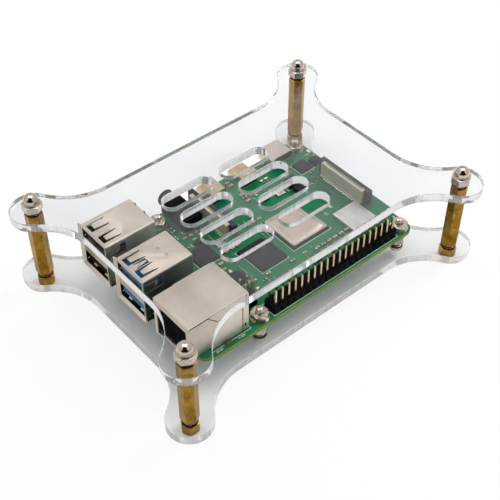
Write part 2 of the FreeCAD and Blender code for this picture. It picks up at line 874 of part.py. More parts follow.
def cable_pins_row(board_x, board_y):
    """Solder tails along the front of the body."""
    x, y = on_board(board_x, board_y)
    start = x + cable_depth / 2 + cable_body_foot_reach
    tails = []
    for i in range(cable_pins):
        tail_y = y + (i - (cable_pins - 1) / 2) * cable_pin_pitch
        tails.append(block(start + cable_pin_reach / 2, tail_y, board_top, cable_pin_reach, cable_pin_w,
                           cable_pin_t))
    return tails


# Chips and small parts
def chip(board_x, board_y, length, width, height, z=board_top):
    x, y = on_board(board_x, board_y)
    body = block(x, y, z, length, width, height)
    return body.makeChamfer(chip_chamfer, top_edges(body))


def processor_lid():
    """Pressed metal lid with a raised middle."""
    x, y = on_board(processor_x, processor_y)
    z = board_top + processor_base_h
    rim = octagon_prism(x, y, z, processor_lid_w, processor_lid_w, processor_lid_h, processor_lid_corner)
    step_w = processor_lid_w - 2 * processor_step_in
    step = octagon_prism(x, y, z + processor_lid_h, step_w, step_w, processor_step_h, processor_lid_corner)
    step = step.makeChamfer(processor_step_h * 0.6, top_edges(step))
    return rim.fuse(step).removeSplitter()


def radio_shield():
    x, y = on_board(shield_x, shield_y)
    can = octagon_prism(x, y, board_top, shield_length, shield_width, shield_h, shield_edge)
    return can.makeChamfer(shield_edge, top_edges(can))


def rounded_coil():
    x, y = on_board(coil_x, coil_y)
    coil = octagon_prism(x, y, board_top, coil_w, coil_w, coil_h, coil_corner)
    return coil.makeChamfer(chip_chamfer, top_edges(coil))


def card_slot():
    """Sheet cage under the board, open at the card end."""
    x, y = on_board(card_slot_x + card_slot_length / 2, board_width / 2)
    z = board_bottom - card_slot_h
    cage = block(x, y, z, card_slot_length, card_slot_width, card_slot_h)
    gap_x = x - card_slot_length / 2 + card_gap_depth / 2
    gap_z = z + (card_slot_h - card_gap_h) / 2
    return cage.cut(block(gap_x, y, gap_z, card_gap_depth, card_gap_w, card_gap_h))


# Rows of like parts: first place, count, step in X, step in Y
seat_tolerance = 0.01
capacitor_size = (1.6, 0.85, 0.8)
capacitor_rows = [
    (12.6, 8.6, 2, 0.0, 1.6),
    (17.8, 3.0, 1, 0.0, 0.0),
    (18.2, 12.0, 4, 2.4, 0.0),
    (18.6, 20.4, 5, 2.4, 0.0),
    (18.3, 44.0, 6, 2.5, 0.0),
    (32.8, 3.0, 2, 0.0, 1.6),
    (33.0, 10.4, 3, 0.0, 1.7),
    (36.0, 22.6, 3, 2.3, 0.0),
    (40.2, 43.2, 1, 0.0, 0.0),
    (49.4, 42.4, 1, 0.0, 0.0),
    (47.6, 26.2, 3, 2.3, 0.0),
    (52.6, 14.4, 4, 2.2, 0.0),
    (63.4, 15.9, 2, 0.0, 1.4),
    (57.8, 30.2, 3, 2.2, 0.0),
    (54.6, 42.0, 1, 0.0, 0.0),
]
resistor_size = (0.6, 1.0, 0.35)
resistor_rows = [
    (9.0, 18.6, 5, 1.3, 0.0),
    (9.4, 24.6, 4, 0.0, 1.7),
    (13.2, 24.6, 4, 0.0, 1.7),
    (19.4, 9.4, 3, 1.3, 0.0),
    (30.8, 14.6, 5, 0.0, 1.6),
    (36.6, 14.6, 4, 0.0, 1.6),
    (38.6, 25.0, 4, 0.0, 1.6),
    (52.0, 17.4, 3, 0.0, 1.7),
    (53.6, 27.6, 4, 0.0, 1.7),
    (54.0, 34.8, 4, 0.0, 1.7),
    (40.4, 46.6, 6, 1.3, 0.0),
    (24.2, 46.8, 5, 1.3, 0.0),
    (62.6, 34.4, 2, 1.4, 0.0),
]
inductor_size = (3.0, 3.0, 1.9)
inductor_rows = [
    (16.0, 15.6, 2, 0.0, 3.9),
    (3.4, 13.4, 1, 0.0, 0.0),
]
clock_size = (3.2, 2.5, 0.8)
clock_rows = [
    (21.6, 16.4, 1, 0.0, 0.0),
    (52.4, 23.5, 1, 0.0, 0.0),
    (66.3, 29.0, 1, 0.0, 0.0),
]
light_size = (0.8, 1.6, 0.6)
light_rows = [(1.3, 8.0, 2, 0.0, 3.4)]
regulator_size = (2.9, 1.6, 1.1)
regulator_rows = [
    (27.0, 15.4, 1, 0.0, 0.0),
    (34.0, 46.8, 1, 0.0, 0.0),
    (57.0, 18.6, 1, 0.0, 0.0),
]


def is_free(part):
    """True where a small part stands on the board and clear of all that is placed already."""
    box = part.BoundBox
    box.enlarge(-seat_tolerance)
    on_x = board_x0 < box.XMin and box.XMax < board_x0 + board_length
    on_y = board_y0 < box.YMin and box.YMax < board_y0 + board_width
    return on_x and on_y and not any(box.intersect(other) for other in placed)


def in_rows(rows, size):
    """Plain blocks repeated along rows, wherever the board is free."""
    blocks = []
    for board_x, board_y, count, step_x, step_y in rows:
        for i in range(count):
            x, y = on_board(board_x + i * step_x, board_y + i * step_y)
            part = block(x, y, board_top, *size)
            if is_free(part):
                blocks.append(part)
    return blocks


# Nodes
def build_case():
    export("base_plate", base_plate())
    export("top_plate", top_plate())
    export("corner_feet", [corner_foot(x, y) for x, y in posts])
    export("corner_standoffs", [corner_standoff(x, y) for x, y in posts])
    export("dome_nuts", [dome_nut(x, y) for x, y in posts])
    export("board_spacers", [board_spacer(x, y) for x, y in board_holes])
    export("board_screws", [board_screw(x, y) for x, y in board_holes])
    export("board_nuts", [board_nut(x, y) for x, y in board_holes])


def build_headers():
    places = header_pin_places()
    export("pin_header_base", header_base(*on_board(header_x, header_y), header_pins_x, places))
    export("pin_header_pins", header_pins(places))
    places = small_header_pin_places()
    export("small_header_base", header_base(*on_board(small_header_x, small_header_y), 2, places))
    export("small_header_pins", header_pins(places))


def build_ports():
    for name, board_y, middle_slot, contacts in (
        ("black_port", stack_black_y, False, 4),
        ("blue_port", stack_blue_y, True, 9),
    ):
        export(name + "_shell", stack_shell(board_y, middle_slot))
        export(name + "_dividers", [stack_divider(board_y), stack_floor(board_y)])
        export(name + "_insert", stack_insert(board_y))
        export(name + "_contacts", stack_contacts(board_y, contacts))
    export("network_jack_shell", jack_shell())
    export("network_jack_insert", jack_insert())
    export("network_jack_contacts", jack_contacts())
    export("audio_jack", audio_jack())
    video = (video_width, video_depth, video_h, video_overhang, video_corner)
    export("video_port_shells", [edge_port_shell(x, *video) for x in (video_near_x, video_far_x)])
    export("video_port_tongues", [edge_port_tongue(x, *video) for x in (video_near_x, video_far_x)])
    power = (power_width, power_depth, power_h, power_overhang, power_corner)
    export("power_port_shell", edge_port_shell(power_x, *power))
    export("power_port_tongue", edge_port_tongue(power_x, *power))


def build_cable_connectors():
    for name, x, y in (
        ("display_connector", cable_display_x, cable_display_y),
        ("camera_connector", cable_camera_x, cable_camera_y),
    ):
        export(name + "_body", cable_body(x, y))
        export(name + "_latch", cable_latch(x, y))
        export(name + "_pins", cable_pins_row(x, y))


def build_chips():
    export("processor_base", chip(processor_x, processor_y, processor_w, processor_w, processor_base_h))
    export("processor_lid", processor_lid())
    export("memory_chip", chip(memory_x, memory_y, memory_length, memory_width, memory_h))
    export("port_controller_chip", chip(port_chip_x, port_chip_y, port_chip_w, port_chip_w, port_chip_h))
    export("power_chip", chip(power_chip_x, power_chip_y, power_chip_w, power_chip_w, power_chip_h))
    export("radio_shield", radio_shield())
    export("network_coil", rounded_coil())
    export("card_slot", card_slot())
    export("chip_capacitors", in_rows(capacitor_rows, capacitor_size))
    export("chip_resistors", in_rows(resistor_rows, resistor_size))
    export("power_inductors", in_rows(inductor_rows, inductor_size))
    export("clock_crystals", in_rows(clock_rows, clock_size))
    export("voltage_regulators", in_rows(regulator_rows, regulator_size))
    export("status_lights", in_rows(light_rows, light_size))


os.makedirs("parts", exist_ok=True)
build_case()
export("circuit_board", circuit_board())
build_headers()
build_ports()
build_cable_connectors()
build_chips()
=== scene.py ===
import math

import bmesh
import bpy
from mathutils import Matrix, Vector


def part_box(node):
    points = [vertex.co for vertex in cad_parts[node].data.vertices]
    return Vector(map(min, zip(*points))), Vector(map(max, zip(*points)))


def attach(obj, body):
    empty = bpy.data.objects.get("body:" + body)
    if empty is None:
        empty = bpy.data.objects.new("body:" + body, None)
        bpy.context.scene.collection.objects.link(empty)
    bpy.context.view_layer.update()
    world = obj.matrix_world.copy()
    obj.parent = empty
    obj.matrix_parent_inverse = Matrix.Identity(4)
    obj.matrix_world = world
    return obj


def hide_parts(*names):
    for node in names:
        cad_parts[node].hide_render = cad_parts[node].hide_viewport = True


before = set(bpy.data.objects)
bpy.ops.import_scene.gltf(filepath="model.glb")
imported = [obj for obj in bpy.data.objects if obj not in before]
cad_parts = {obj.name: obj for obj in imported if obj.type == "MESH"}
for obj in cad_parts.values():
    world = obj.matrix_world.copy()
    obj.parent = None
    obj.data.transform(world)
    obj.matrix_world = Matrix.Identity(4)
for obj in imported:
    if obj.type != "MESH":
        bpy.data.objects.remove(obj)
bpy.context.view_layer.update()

# Clear case round a single-board computer. Shapes are worked out in millimetres in the frame of the
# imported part, then brought to metres when a piece is finished.
MM = 0.001
scene = bpy.context.scene


# Sizes that the pieces share with the part
def box_mm(node):
    low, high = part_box(node)
    return low / MM, high / MM


def heights(node):
    """Z of a node's underside and of its top."""
    return [corner.z for corner in box_mm(node)]


plate_t = 3.0
lobe_r = 7.0
neck_r = 19.0
post_hole_r = 1.6
post_x, post_y = 52.5, 36.6
waist_x, waist_y = 46.8, 31.2
port_side_swell = 0.9
vent_x, vent_y = 2.2, 0.8
vent_columns, vent_rows = 2, 4
vent_length, vent_width = 18.0, 6.0
vent_bridge_x, vent_bridge_y = 4.0, 3.2
plate_edge = 0.16

post_flats = 4.9
stud_r = 1.45
thread_pitch = 0.5
dome_flats = 5.5
dome_hex_h = 2.3
dome_ball_r = 2.35
dome_ball_lift = 0.85
dome_neck_r = 2.12

screw_r = 1.2
screw_head_r = 2.25
screw_pitch = 0.45
board_hole_r = 1.35
board_corner_r = 3.0
pin_hole_r = 0.5
pin_half = 0.32
ink_t = 0.02

base_bottom, base_top = heights("base_plate")
top_bottom, top_top = heights("top_plate")
board_low, board_high = box_mm("circuit_board")
board_bottom, board_top = heights("circuit_board")


# Node trees
def arithmetic(operation, turned=False):
    """Method that adds a Math node, its two values in order or turned round."""
    def method(self, other):
        return self.math(operation, other, self) if turned else self.math(operation, self, other)
    return method


class Field:
    """A value that changes over a surface. Arithmetic on it adds Math nodes."""
    __add__, __radd__ = arithmetic("ADD"), arithmetic("ADD", True)
    __sub__, __rsub__ = arithmetic("SUBTRACT"), arithmetic("SUBTRACT", True)
    __mul__, __rmul__ = arithmetic("MULTIPLY"), arithmetic("MULTIPLY", True)
    __truediv__, __rtruediv__ = arithmetic("DIVIDE"), arithmetic("DIVIDE", True)
    above, below = arithmetic("GREATER_THAN"), arithmetic("LESS_THAN")

    def __init__(self, tree, socket):
        self.tree = tree
        self.socket = socket

    def math(self, operation, *values):
        return self.tree.add("ShaderNodeMath", dict(enumerate(values)), operation=operation)["Value"]

    def absolute(self):
        return self.math("ABSOLUTE", self)

    def clamped(self):
        return self.tree.add("ShaderNodeClamp", {"Value": self})["Result"]


class Outputs:
    """A node's outputs by name, each as a Field."""

    def __init__(self, tree, node):
        self.tree = tree
        self.node = node

    def __getitem__(self, name):
        return Field(self.tree, self.node.outputs[name])


class Tree:
    """A node tree that grows one node at a time."""

    def __init__(self, nodes):
        self.tree = nodes
        self.tree.nodes.clear()

    def add(self, kind, inputs=None, stops=(), **settings):
        """Adds a node: first its settings or its ramp's stops, then the value or link of each socket."""
        node = self.tree.nodes.new(kind)
        for name, value in settings.items():
            setattr(node, name, value)
        for number, (place, colour) in enumerate(stops):
            elements = node.color_ramp.elements
            element = elements[number] if number < len(elements) else elements.new(place)
            element.position = place
            element.color = (*colour, 1.0)
        for name, value in (inputs or {}).items():
            if isinstance(value, Field):
                self.tree.links.new(value.socket, node.inputs[name])
            else:
                node.inputs[name].default_value = value
        return Outputs(self, node)

    def ranged(self, field, low, high, to_low=0.0, to_high=1.0):
        inputs = {"Value": field, "From Min": low, "From Max": high, "To Min": to_low, "To Max": to_high}
        return self.add("ShaderNodeMapRange", inputs)["Result"]

    def choose(self, share, first, second):
        """The second shader for a share of the light, the first for the rest."""
        return self.add("ShaderNodeMixShader", {0: share, 1: first, 2: second})["Shader"]


def linear(red, green, blue):
    """A colour given as 0 to 255 screen values."""
    values = []
    for v in (red, green, blue):
        v /= 255.0
        values.append(v / 12.92 if v <= 0.04045 else ((v + 0.055) / 1.055) ** 2.4)
    return tuple(values)


class Surface(Tree):
    """A material with one main shader, read from object coordinates."""

    def __init__(self, name, **constants):
        self.material = bpy.data.materials.new(name)
        self.material.use_nodes = True
        super().__init__(self.material.node_tree)
        self.place = self.add("ShaderNodeTexCoord")["Object"]
        inputs = {socket.replace("_", " "): value for socket, value in constants.items()}
        self.shader = self.add("ShaderNodeBsdfPrincipled", inputs)
        self.out = self.add("ShaderNodeOutputMaterial", {"Surface": self.shader["BSDF"]})

    def feed(self, socket, field):
        self.tree.links.new(field.socket, self.shader.node.inputs[socket])

    def show(self, shader):
        self.tree.links.new(shader.socket, self.out.node.inputs["Surface"])

    def mapped(self, **change):
        return self.add("ShaderNodeMapping", {"Vector": self.place, **change})["Vector"]

    def noise(self, scale, detail=3.0, rough=0.55, place=None):
        """Noise with a grain of about 1 / scale millimetres."""
        inputs = {"Vector": place or self.place, "Scale": scale / MM, "Detail": detail, "Roughness": rough}
        return self.add("ShaderNodeTexNoise", inputs)["Fac"]

    def mixed(self, factor, first, second):
        """Colour between the first and the second, each a colour or a Field."""
        first, second = (c if isinstance(c, Field) else (*c, 1.0) for c in (first, second))
        return self.add("ShaderNodeMix", {0: factor, 6: first, 7: second}, data_type="RGBA")[2]

    def tones(self, field, low, high, first, second):
        """Base colour that turns from the first to the second between two levels of a field."""
        self.feed("Base Color", self.mixed(self.ranged(field, low, high), first, second))

    def polish(self, grain, low, high):
        """Roughness between low and high, by a noise that stays near its middle."""
        self.feed("Roughness", self.ranged(grain, 0.3, 0.7, low, high))

    def bump(self, height, distance):
        inputs = {"Height": height, "Distance": distance * MM, "Strength": 1.0}
        self.feed("Normal", self.add("ShaderNodeBump", inputs)["Normal"])


def metal(name, light, dark, roughness, grain=(1.0, 1.0, 1.0), bump=0.01, coarse=0.35):
    """Metal with soft patches of a second tone, fine streaks along its grain and uneven polish."""
    surface = Surface(name, Metallic=1.0)
    patches = surface.noise(coarse, 4.0)
    streaks = surface.noise(3.0, 3.0, 0.6, surface.mapped(Scale=grain))
    surface.tones(patches * 0.65 + streaks * 0.35, 0.38, 0.62, linear(*dark), linear(*light))
    surface.polish(streaks, roughness * 0.8, roughness * 1.3)
    surface.bump(streaks, bump)
    return surface.material


def moulded(name, colour, roughness, mottle=0.12, grain=4.0, bump=0.012, coat=0.0, sheen=0.5):
    """Moulded plastic or epoxy: faint mottling, a fine matt texture and uneven gloss."""
    surface = Surface(name, Coat_Weight=coat, Specular_IOR_Level=sheen)
    cloud = surface.noise(0.25)
    fine = surface.noise(grain, 2.0)
    lighter = [min(1.0, c * (1 + mottle) + 0.004) for c in linear(*colour)]
    darker = [c * (1 - mottle) for c in linear(*colour)]
    surface.tones(cloud * 0.6 + fine * 0.4, 0.35, 0.65, darker, lighter)
    surface.polish(fine, roughness * 0.88, roughness * 1.12)
    surface.bump(fine, bump)
    return surface.material


def clear_sheet(name, colour, roughness, milk=0.0, milk_colour=None):
    """Polished clear sheet. A cut edge adds fine upright saw marks and a milky share of scattered light.
    Light that only throws shadows passes straight through, and so does what has gone through many faces."""
    surface = Surface(name, IOR=1.49, Transmission_Weight=1.0)
    cloud = surface.noise(0.04, 2.0)
    saw = surface.noise(1.6, 2.0, 0.6, surface.mapped(Scale=(1.0, 1.0, 0.04)))
    surface.tones(cloud, 0.4, 0.6, colour, [c * 0.985 for c in colour])
    surface.polish(saw if milk else cloud, roughness, roughness + 0.02)
    sheet = surface.shader["BSDF"]
    if milk:
        surface.bump(saw, 0.006)
        level = surface.ranged(saw * 0.35 + surface.noise(0.16, 1.0) * 0.9, 0.48, 0.78)
        tone = surface.mixed(level, [c * 0.85 for c in milk_colour], milk_colour)
        scattered = surface.add("ShaderNodeBsdfDiffuse", {"Color": tone})["BSDF"]
        sheet = surface.choose(surface.ranged(saw, 0.3, 0.7, milk - 0.08, milk + 0.06), sheet, scattered)
    path = surface.add("ShaderNodeLightPath")
    most_faces = 5.5
    passing = path["Is Shadow Ray"] + path["Is Diffuse Ray"] + path["Ray Depth"].above(most_faces)
    through = surface.add("ShaderNodeBsdfTransparent", {"Color": (0.97, 0.975, 0.985, 1.0)})["BSDF"]
    surface.show(surface.choose(passing.clamped(), sheet, through))
    return surface.material


def solder_mask(name):
    """Green lacquer over copper: faint tracks, square to the board in some zones and slanted in others."""
    surface = Surface(name, IOR=1.5, Specular_IOR_Level=0.3)
    layout = {"Mortar Size": 0.14, "Mortar Smooth": 0.3, "Brick Width": 2.7, "Row Height": 0.34, "Bias": 0.0,
              "Color1": (1, 1, 1, 1), "Color2": (0.72, 0.72, 0.72, 1), "Mortar": (0, 0, 0, 1)}
    tracks = []
    for turn, scale in ((0.0, 1.15), (math.pi / 4, 0.8)):
        inputs = {"Vector": surface.mapped(Rotation=(0, 0, turn)), "Scale": 0.42 / MM * scale, **layout}
        tracks.append(surface.add("ShaderNodeTexBrick", inputs, offset=0.37)["Color"])
    lines = surface.mixed(surface.noise(0.11, 2.0).above(0.5), *tracks)
    lines = surface.add("ShaderNodeRGBToBW", {"Color": lines})["Val"]
    cloud = surface.ranged(surface.noise(0.09), 0.35, 0.65)
    body = surface.mixed(cloud, linear(4, 112, 68), linear(12, 128, 78))
    surface.feed("Base Color", surface.mixed(lines * 0.35 + 0.4, linear(2, 84, 52), body))
    surface.feed("Roughness", surface.ranged(lines, 0.0, 1.0, 0.36, 0.28))
    surface.bump(lines, 0.012)
    return surface.material


def board_core(name):
    """Cut edge of the glass-fibre board, in thin layers."""
    surface = Surface(name)
    layers = surface.noise(2.2, 2.0, 0.5, surface.mapped(Scale=(0.15, 0.15, 3.0)))
    surface.tones(layers, 0.35, 0.65, linear(22, 108, 30), linear(138, 152, 56))
    surface.polish(layers, 0.5, 0.7)
    surface.bump(layers, 0.03)
    return surface.material


def sheet_with_painted_gap_shade(name, deep, high, clear_z, roughness):
    """Side of a stack that faces its neighbour: sheet that dulls and darkens down towards the board, painted
    shade of the narrow gap.
    """
    surface = Surface(name, Metallic=1.0)
    height = surface.add("ShaderNodeSeparateXYZ", {"Vector": surface.place})["Z"]
    cloud = surface.noise(0.3)
    dark_z, waver = 14.5, 3.0
    surface.tones(height + cloud * (waver * MM), dark_z * MM, clear_z * MM, linear(*deep), linear(*high))
    surface.polish(cloud, roughness * 0.85, roughness * 1.15)
    surface.bump(cloud, 0.01)
    return surface.material


finishes = {
    "clear_acrylic": clear_sheet("clear_sheet_face", (0.895, 0.898, 0.91), 0.0),
    "clear_edge": clear_sheet("clear_sheet_edge", (0.97, 0.97, 0.975), 0.02, 0.36, (0.98, 0.98, 0.98)),
    # Grey scattered share on the top plate's bevelled rims: painted dark edge line
    "clear_arris": clear_sheet("clear_sheet_arris_painted_shade", (0.8, 0.82, 0.82), 0.03, 0.5, (0.5, 0.52, 0.52)),
    # Brass: its darker tone in soft patches is partly uneven tone, partly painted reflection of dark
    # surroundings
    "brass": metal("drawn_brass", (172, 132, 58), (126, 94, 12), 0.3, (2.0, 2.0, 0.12)),
    "nickel": metal("bright_nickel", (210, 198, 186), (182, 170, 158), 0.09, (1, 1, 2), 0.002),
    "nickel_satin": metal("satin_nickel", (216, 205, 193), (192, 181, 169), 0.26, bump=0.003),
    "board_green": solder_mask("solder_mask"),
    "board_core": board_core("board_core"),
    "legend": moulded("legend_ink", (226, 232, 226), 0.5),
    "copper": metal("tinned_pad", (214, 206, 190), (180, 170, 150), 0.28),
    "base_face": clear_sheet("base_sheet_face", (0.92, 0.922, 0.908), 0.0),
    "base_edge": clear_sheet("base_sheet_edge", (0.97, 0.965, 0.96), 0.02, 0.6, (1.0, 0.975, 0.955)),
    # Sides that face a neighbour: colour darkens towards the board, painted shade of the gaps
    "sheet_gap": sheet_with_painted_gap_shade("sheet_in_gap_painted_shade", (16, 17, 14), (248, 238, 226), 20.0, 0.44),
    "sheet_gap_deep": sheet_with_painted_gap_shade("sheet_in_deep_gap_painted_shade", (11, 12, 10), (150, 145, 140), 26.0, 0.31),
    "black_plastic": moulded("black_moulding", (6.5892, 6.5892, 8.2365), 0.5, sheen=0.04),
    "blue_plastic": moulded("blue_moulding", (6, 110, 164), 0.4, sheen=0.15),
    "sheet_steel": metal("plated_sheet", (230, 219, 205), (212, 200, 186), 0.4, bump=0.004,
                         coarse=0.12),
    # Darker, warmer copy of the plated sheet for inner parts: painted shade
    "sheet_inside": metal("plated_sheet_painted_inner_shade", (204, 188, 168), (176, 158, 136), 0.4),
    # Darker ring standing for each pressed dimple: painted shade of its slope
    "dimple_ring_painted_shade": metal("dimple_ring_painted_shade", (150, 132, 114), (120, 104, 90), 0.4),
    # Dark sheet for the inner faces of the mouths: painted shade
    "sheet_shaded": metal("painted_shade_in_mouth", (52, 46, 40), (30, 26, 23), 0.5),
    # Dark strips for seams, notches and the strap's hole: painted shade of those gaps
    "seam": moulded("dark_painted_seam_shade", (26, 22, 18), 0.7, sheen=0.1),
    "cap_red": moulded("red_ceramic", (128, 60, 40), 0.45, 0.2),
    "gold": metal("gold_plate", (232, 214, 182), (204, 178, 136), 0.22, (1.0, 1.0, 0.3), 0.002),
    "ivory_plastic": moulded("ivory_moulding", (178, 174, 152), 0.5),
    "grey_plastic": moulded("grey_moulding", (54, 50, 58), 0.45, sheen=0.3),
    "chip_black": moulded("chip_epoxy", (27, 24, 31), 0.5, 0.2, 6.0, 0.02, sheen=0.2),
    "lid_metal": metal("stamped_lid", (207, 192, 181), (193, 178, 168), 0.46, bump=0.006),
    "shield_metal": metal("shield_tin", (232, 230, 224), (214, 212, 208), 0.34, bump=0.006),
    "capacitor_tan": moulded("capacitor_ceramic", (160, 118, 84), 0.45, 0.2),
    "solder_tin": metal("solder_tin", (222, 220, 216), (180, 178, 172), 0.2, bump=0.01),
    "light_white": moulded("lamp_resin", (225, 222, 205), 0.3, coat=0.3),
}


# Mesh helpers
def placed(name, data):
    """New object in the scene."""
    holder = bpy.data.objects.new(name, data)
    scene.collection.objects.link(holder)
    return holder


def finish_piece(name, mesh, look, body="case", stands_for=(), smooth=30.0):
    """Gives a mesh its finishes, makes it ride on its body and hides the nodes that it stands for."""
    looks = [look] if isinstance(look, str) else list(look)
    # Clearing also resets the look of every face, so it is done only where a tree gave the mesh its own
    if len(mesh.materials):
        mesh.materials.clear()
    for one in looks:
        mesh.materials.append(finishes[one])
    if smooth:
        mesh.shade_smooth()
        mesh.set_sharp_from_angle(angle=math.radians(smooth))
    piece = placed(name, mesh)
    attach(piece, body)
    if stands_for:
        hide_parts(*stands_for)


def to_mesh(name, bm):
    """Mesh in metres from one in millimetres, which is used up."""
    bmesh.ops.recalc_face_normals(bm, faces=bm.faces)
    bmesh.ops.scale(bm, vec=(MM, MM, MM), verts=bm.verts)
    mesh = bpy.data.meshes.new(name)
    bm.to_mesh(mesh)
    bm.free()
    return mesh


def add_piece(name, bm, look, body="case", stands_for=(), smooth=30.0):
    finish_piece(name, to_mesh(name, bm), look, body, stands_for, smooth)


def ease(bm, angle, width, segments=2):
    """Rounds the edges where faces turn by more than an angle in degrees."""
    edges = [e for e in bm.edges if e.calc_face_angle(0) > math.radians(angle)]
    if edges and width:
        bmesh.ops.bevel(bm, geom=edges, offset=width, segments=segments, profile=0.5, affect="EDGES",
                        clamp_overlap=True)


def merge(bm, own, matrix=None, look=0):
    """Adds one mesh to another."""
    if matrix is not None:
        own.transform(matrix)
    for face in own.faces:
        face.material_index = look
    part = bpy.data.meshes.new("part")
    own.to_mesh(part)
    own.free()
    bm.from_mesh(part)
    bpy.data.meshes.remove(part)


def add_block(bm, low, high, width=0.0, segments=2, matrix=None, look=0):
    """Block between two corners, its edges rounded by width."""
    (x0, y0, z0), (x1, y1, z1) = low, high
    own = lofted([[(x0, y0, z), (x1, y0, z), (x1, y1, z), (x0, y1, z)] for z in (z0, z1)])
    ease(own, 20, width, segments)
    merge(bm, own, matrix, look)


def add_lathe(bm, profile, steps=40, matrix=None):
    """Solid of revolution about Z from (radius, z) points, both ends on the axis or closed flat."""
    turn = [2 * math.pi * i / steps for i in range(steps)]
    outlines = [[(r * math.cos(a), r * math.sin(a), z) for a in (turn if r else [0])] for r, z in profile]
    merge(bm, lofted(outlines), matrix)


def lofted(outlines, closed=False):
    """Mesh through outlines of points, where one may be a single point. The ends are capped, or joined."""
    own = bmesh.new()
    rings = [[own.verts.new(point) for point in outline] for outline in outlines]
    caps = [] if closed else [ring for ring in (rings[0], rings[-1]) if len(ring) > 2]
    for a, b in zip(rings, rings[1:] + rings[:1] * closed):
        for i in range(max(len(a), len(b))):
            corners = (a[i % len(a)], a[(i + 1) % len(a)], b[(i + 1) % len(b)], b[i % len(b)])
            own.faces.new(list(dict.fromkeys(corners)))
    for ring in caps:
        own.faces.new(ring)
    bmesh.ops.recalc_face_normals(own, faces=own.faces)
    return own


def hex_radius(angle, flats):
    """Distance from the axis to the side of a hexagon, with slightly eased corners."""
    local = (angle + math.pi / 6) % (math.pi / 3) - math.pi / 6
    return min(flats / 2 / math.cos(local), flats / math.sqrt(3) * 0.985)


def turned_hex(low, high, flats, turn=0.0, chamfer_low=True, bore=0.0):
    """Hexagonal bar whose ends are turned, which leaves an arc on each flat. A bore gets eased lips."""
    flat_r = flats / 2 * 0.97
    slope = math.tan(math.radians(30))
    steps = 72
    angles = [2 * math.pi * i / steps for i in range(steps)]

    def outline(z, limit=None, side=0):
        """Outline at a height, held inside a limit or following the chamfer on one side of the bar."""
        points = []
        for a in angles:
            r = hex_radius(a, flats)
            drop = side * (r - flat_r) * slope
            r = min(r, limit or r)
            points.append((r * math.cos(a + turn), r * math.sin(a + turn), z + drop))
        return points

    outlines = [outline(low, flat_r)] if chamfer_low else []
    outlines += [outline(low, side=1 if chamfer_low else 0), outline(high, side=-1), outline(high, flat_r)]
    if bore:
        lip_r, lip_h = bore * 1.12, 0.25
        outlines += [outline(high, lip_r), outline(high - lip_h, bore)]
        outlines += [outline(low + lip_h, bore), outline(low, lip_r)]
    return lofted(outlines, closed=bool(bore))


def evaluated(holder):
    """Plain mesh of what an object shows; the object is used up."""
    bpy.context.view_layer.update()
    mesh = bpy.data.meshes.new_from_object(holder.evaluated_get(bpy.context.evaluated_depsgraph_get()))
    bpy.data.objects.remove(holder)
    return mesh


def opened(mesh):
    """Editable copy of a mesh; the mesh is used up."""
    own = bmesh.new()
    own.from_mesh(mesh)
    bpy.data.meshes.remove(mesh)
    return own


def flat_sheet(loops, low, high, edge=0.0):
    """Flat sheet between two heights from closed loops of (x, y) points; inner loops are holes."""
    curve = bpy.data.curves.new("sheet", "CURVE")
    curve.dimensions = "2D"
    curve.fill_mode = "BOTH"
    curve.extrude = (high - low) / 2 - edge
    curve.bevel_depth = edge
    curve.bevel_resolution = 1
    curve.offset = -edge
    for loop in loops:
        spline = curve.splines.new("POLY")
        spline.points.add(len(loop) - 1)
        for point, (x, y) in zip(spline.points, loop):
            point.co = (x, y, 0, 1)
        spline.use_cyclic_u = True
    own = opened(evaluated(placed("sheet", curve)))
    bpy.data.curves.remove(curve)
    bmesh.ops.remove_doubles(own, verts=own.verts, dist=1e-4)
    bmesh.ops.dissolve_degenerate(own, edges=own.edges, dist=1e-5)
    bmesh.ops.recalc_face_normals(own, faces=own.faces)
    own.transform(Matrix.Translation((0, 0, (low + high) / 2)))
    own.normal_update()
    return own


def arc(cx, cy, r, start, end, steps):
    """Points of an arc, angles in degrees, both ends included."""
    points = []
    for i in range(steps + 1):
        a = math.radians(start + (end - start) * i / steps)
        points.append((cx + r * math.cos(a), cy + r * math.sin(a)))
    return points


def circle(cx, cy, r, steps=48):
    return arc(cx, cy, r, 0, 360, steps)[:-1]


def rounded(low, high, r, steps=6):
    """Rectangle with rounded corners."""
    x0, y0 = low
    x1, y1 = high
    return (arc(x1 - r, y1 - r, r, 0, 90, steps) + arc(x0 + r, y1 - r, r, 90, 180, steps)
            + arc(x0 + r, y0 + r, r, 180, 270, steps) + arc(x1 - r, y0 + r, r, 270, 360, steps))


def cad_mesh(node):
    """Copy of a node's mesh in millimetres, its loose triangles merged into whole faces."""
    own = bmesh.new()
    own.from_mesh(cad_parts[node].data)
    bmesh.ops.scale(own, vec=(1 / MM, 1 / MM, 1 / MM), verts=own.verts)
    bmesh.ops.remove_doubles(own, verts=own.verts, dist=1e-3)
    bmesh.ops.dissolve_limit(own, angle_limit=math.radians(1.0), verts=own.verts, edges=own.edges)
    return own


def softened(node, name, look, width, own=None, body="case", angle=30):
    """The node's own shape, or a changed copy of it, with its sharp edges broken."""
    own = own or cad_mesh(node)
    ease(own, angle, width)
    add_piece(name, own, look, body, (node,), smooth=12.0)


def centres_of(node):
    """(x, y) of the middle of each separate solid of a node."""
    return [((low + high) / 2).xy for low, high in solids_of(node)]


def solids_of(node):
    """Low and high corner of each separate solid of a node, in millimetres."""
    own = cad_mesh(node)
    seen = set()
    boxes = []
    for start in own.verts:
        if start in seen:
            continue
        group = [start]
        seen.add(start)
        for vert in group:
            for edge in vert.link_edges:
                other = edge.other_vert(vert)
                if other not in seen:
                    seen.add(other)
                    group.append(other)
        xs, ys, zs = zip(*(v.co for v in group))
        boxes.append((Vector((min(xs), min(ys), min(zs))), Vector((max(xs), max(ys), max(zs)))))
    own.free()
    return boxes


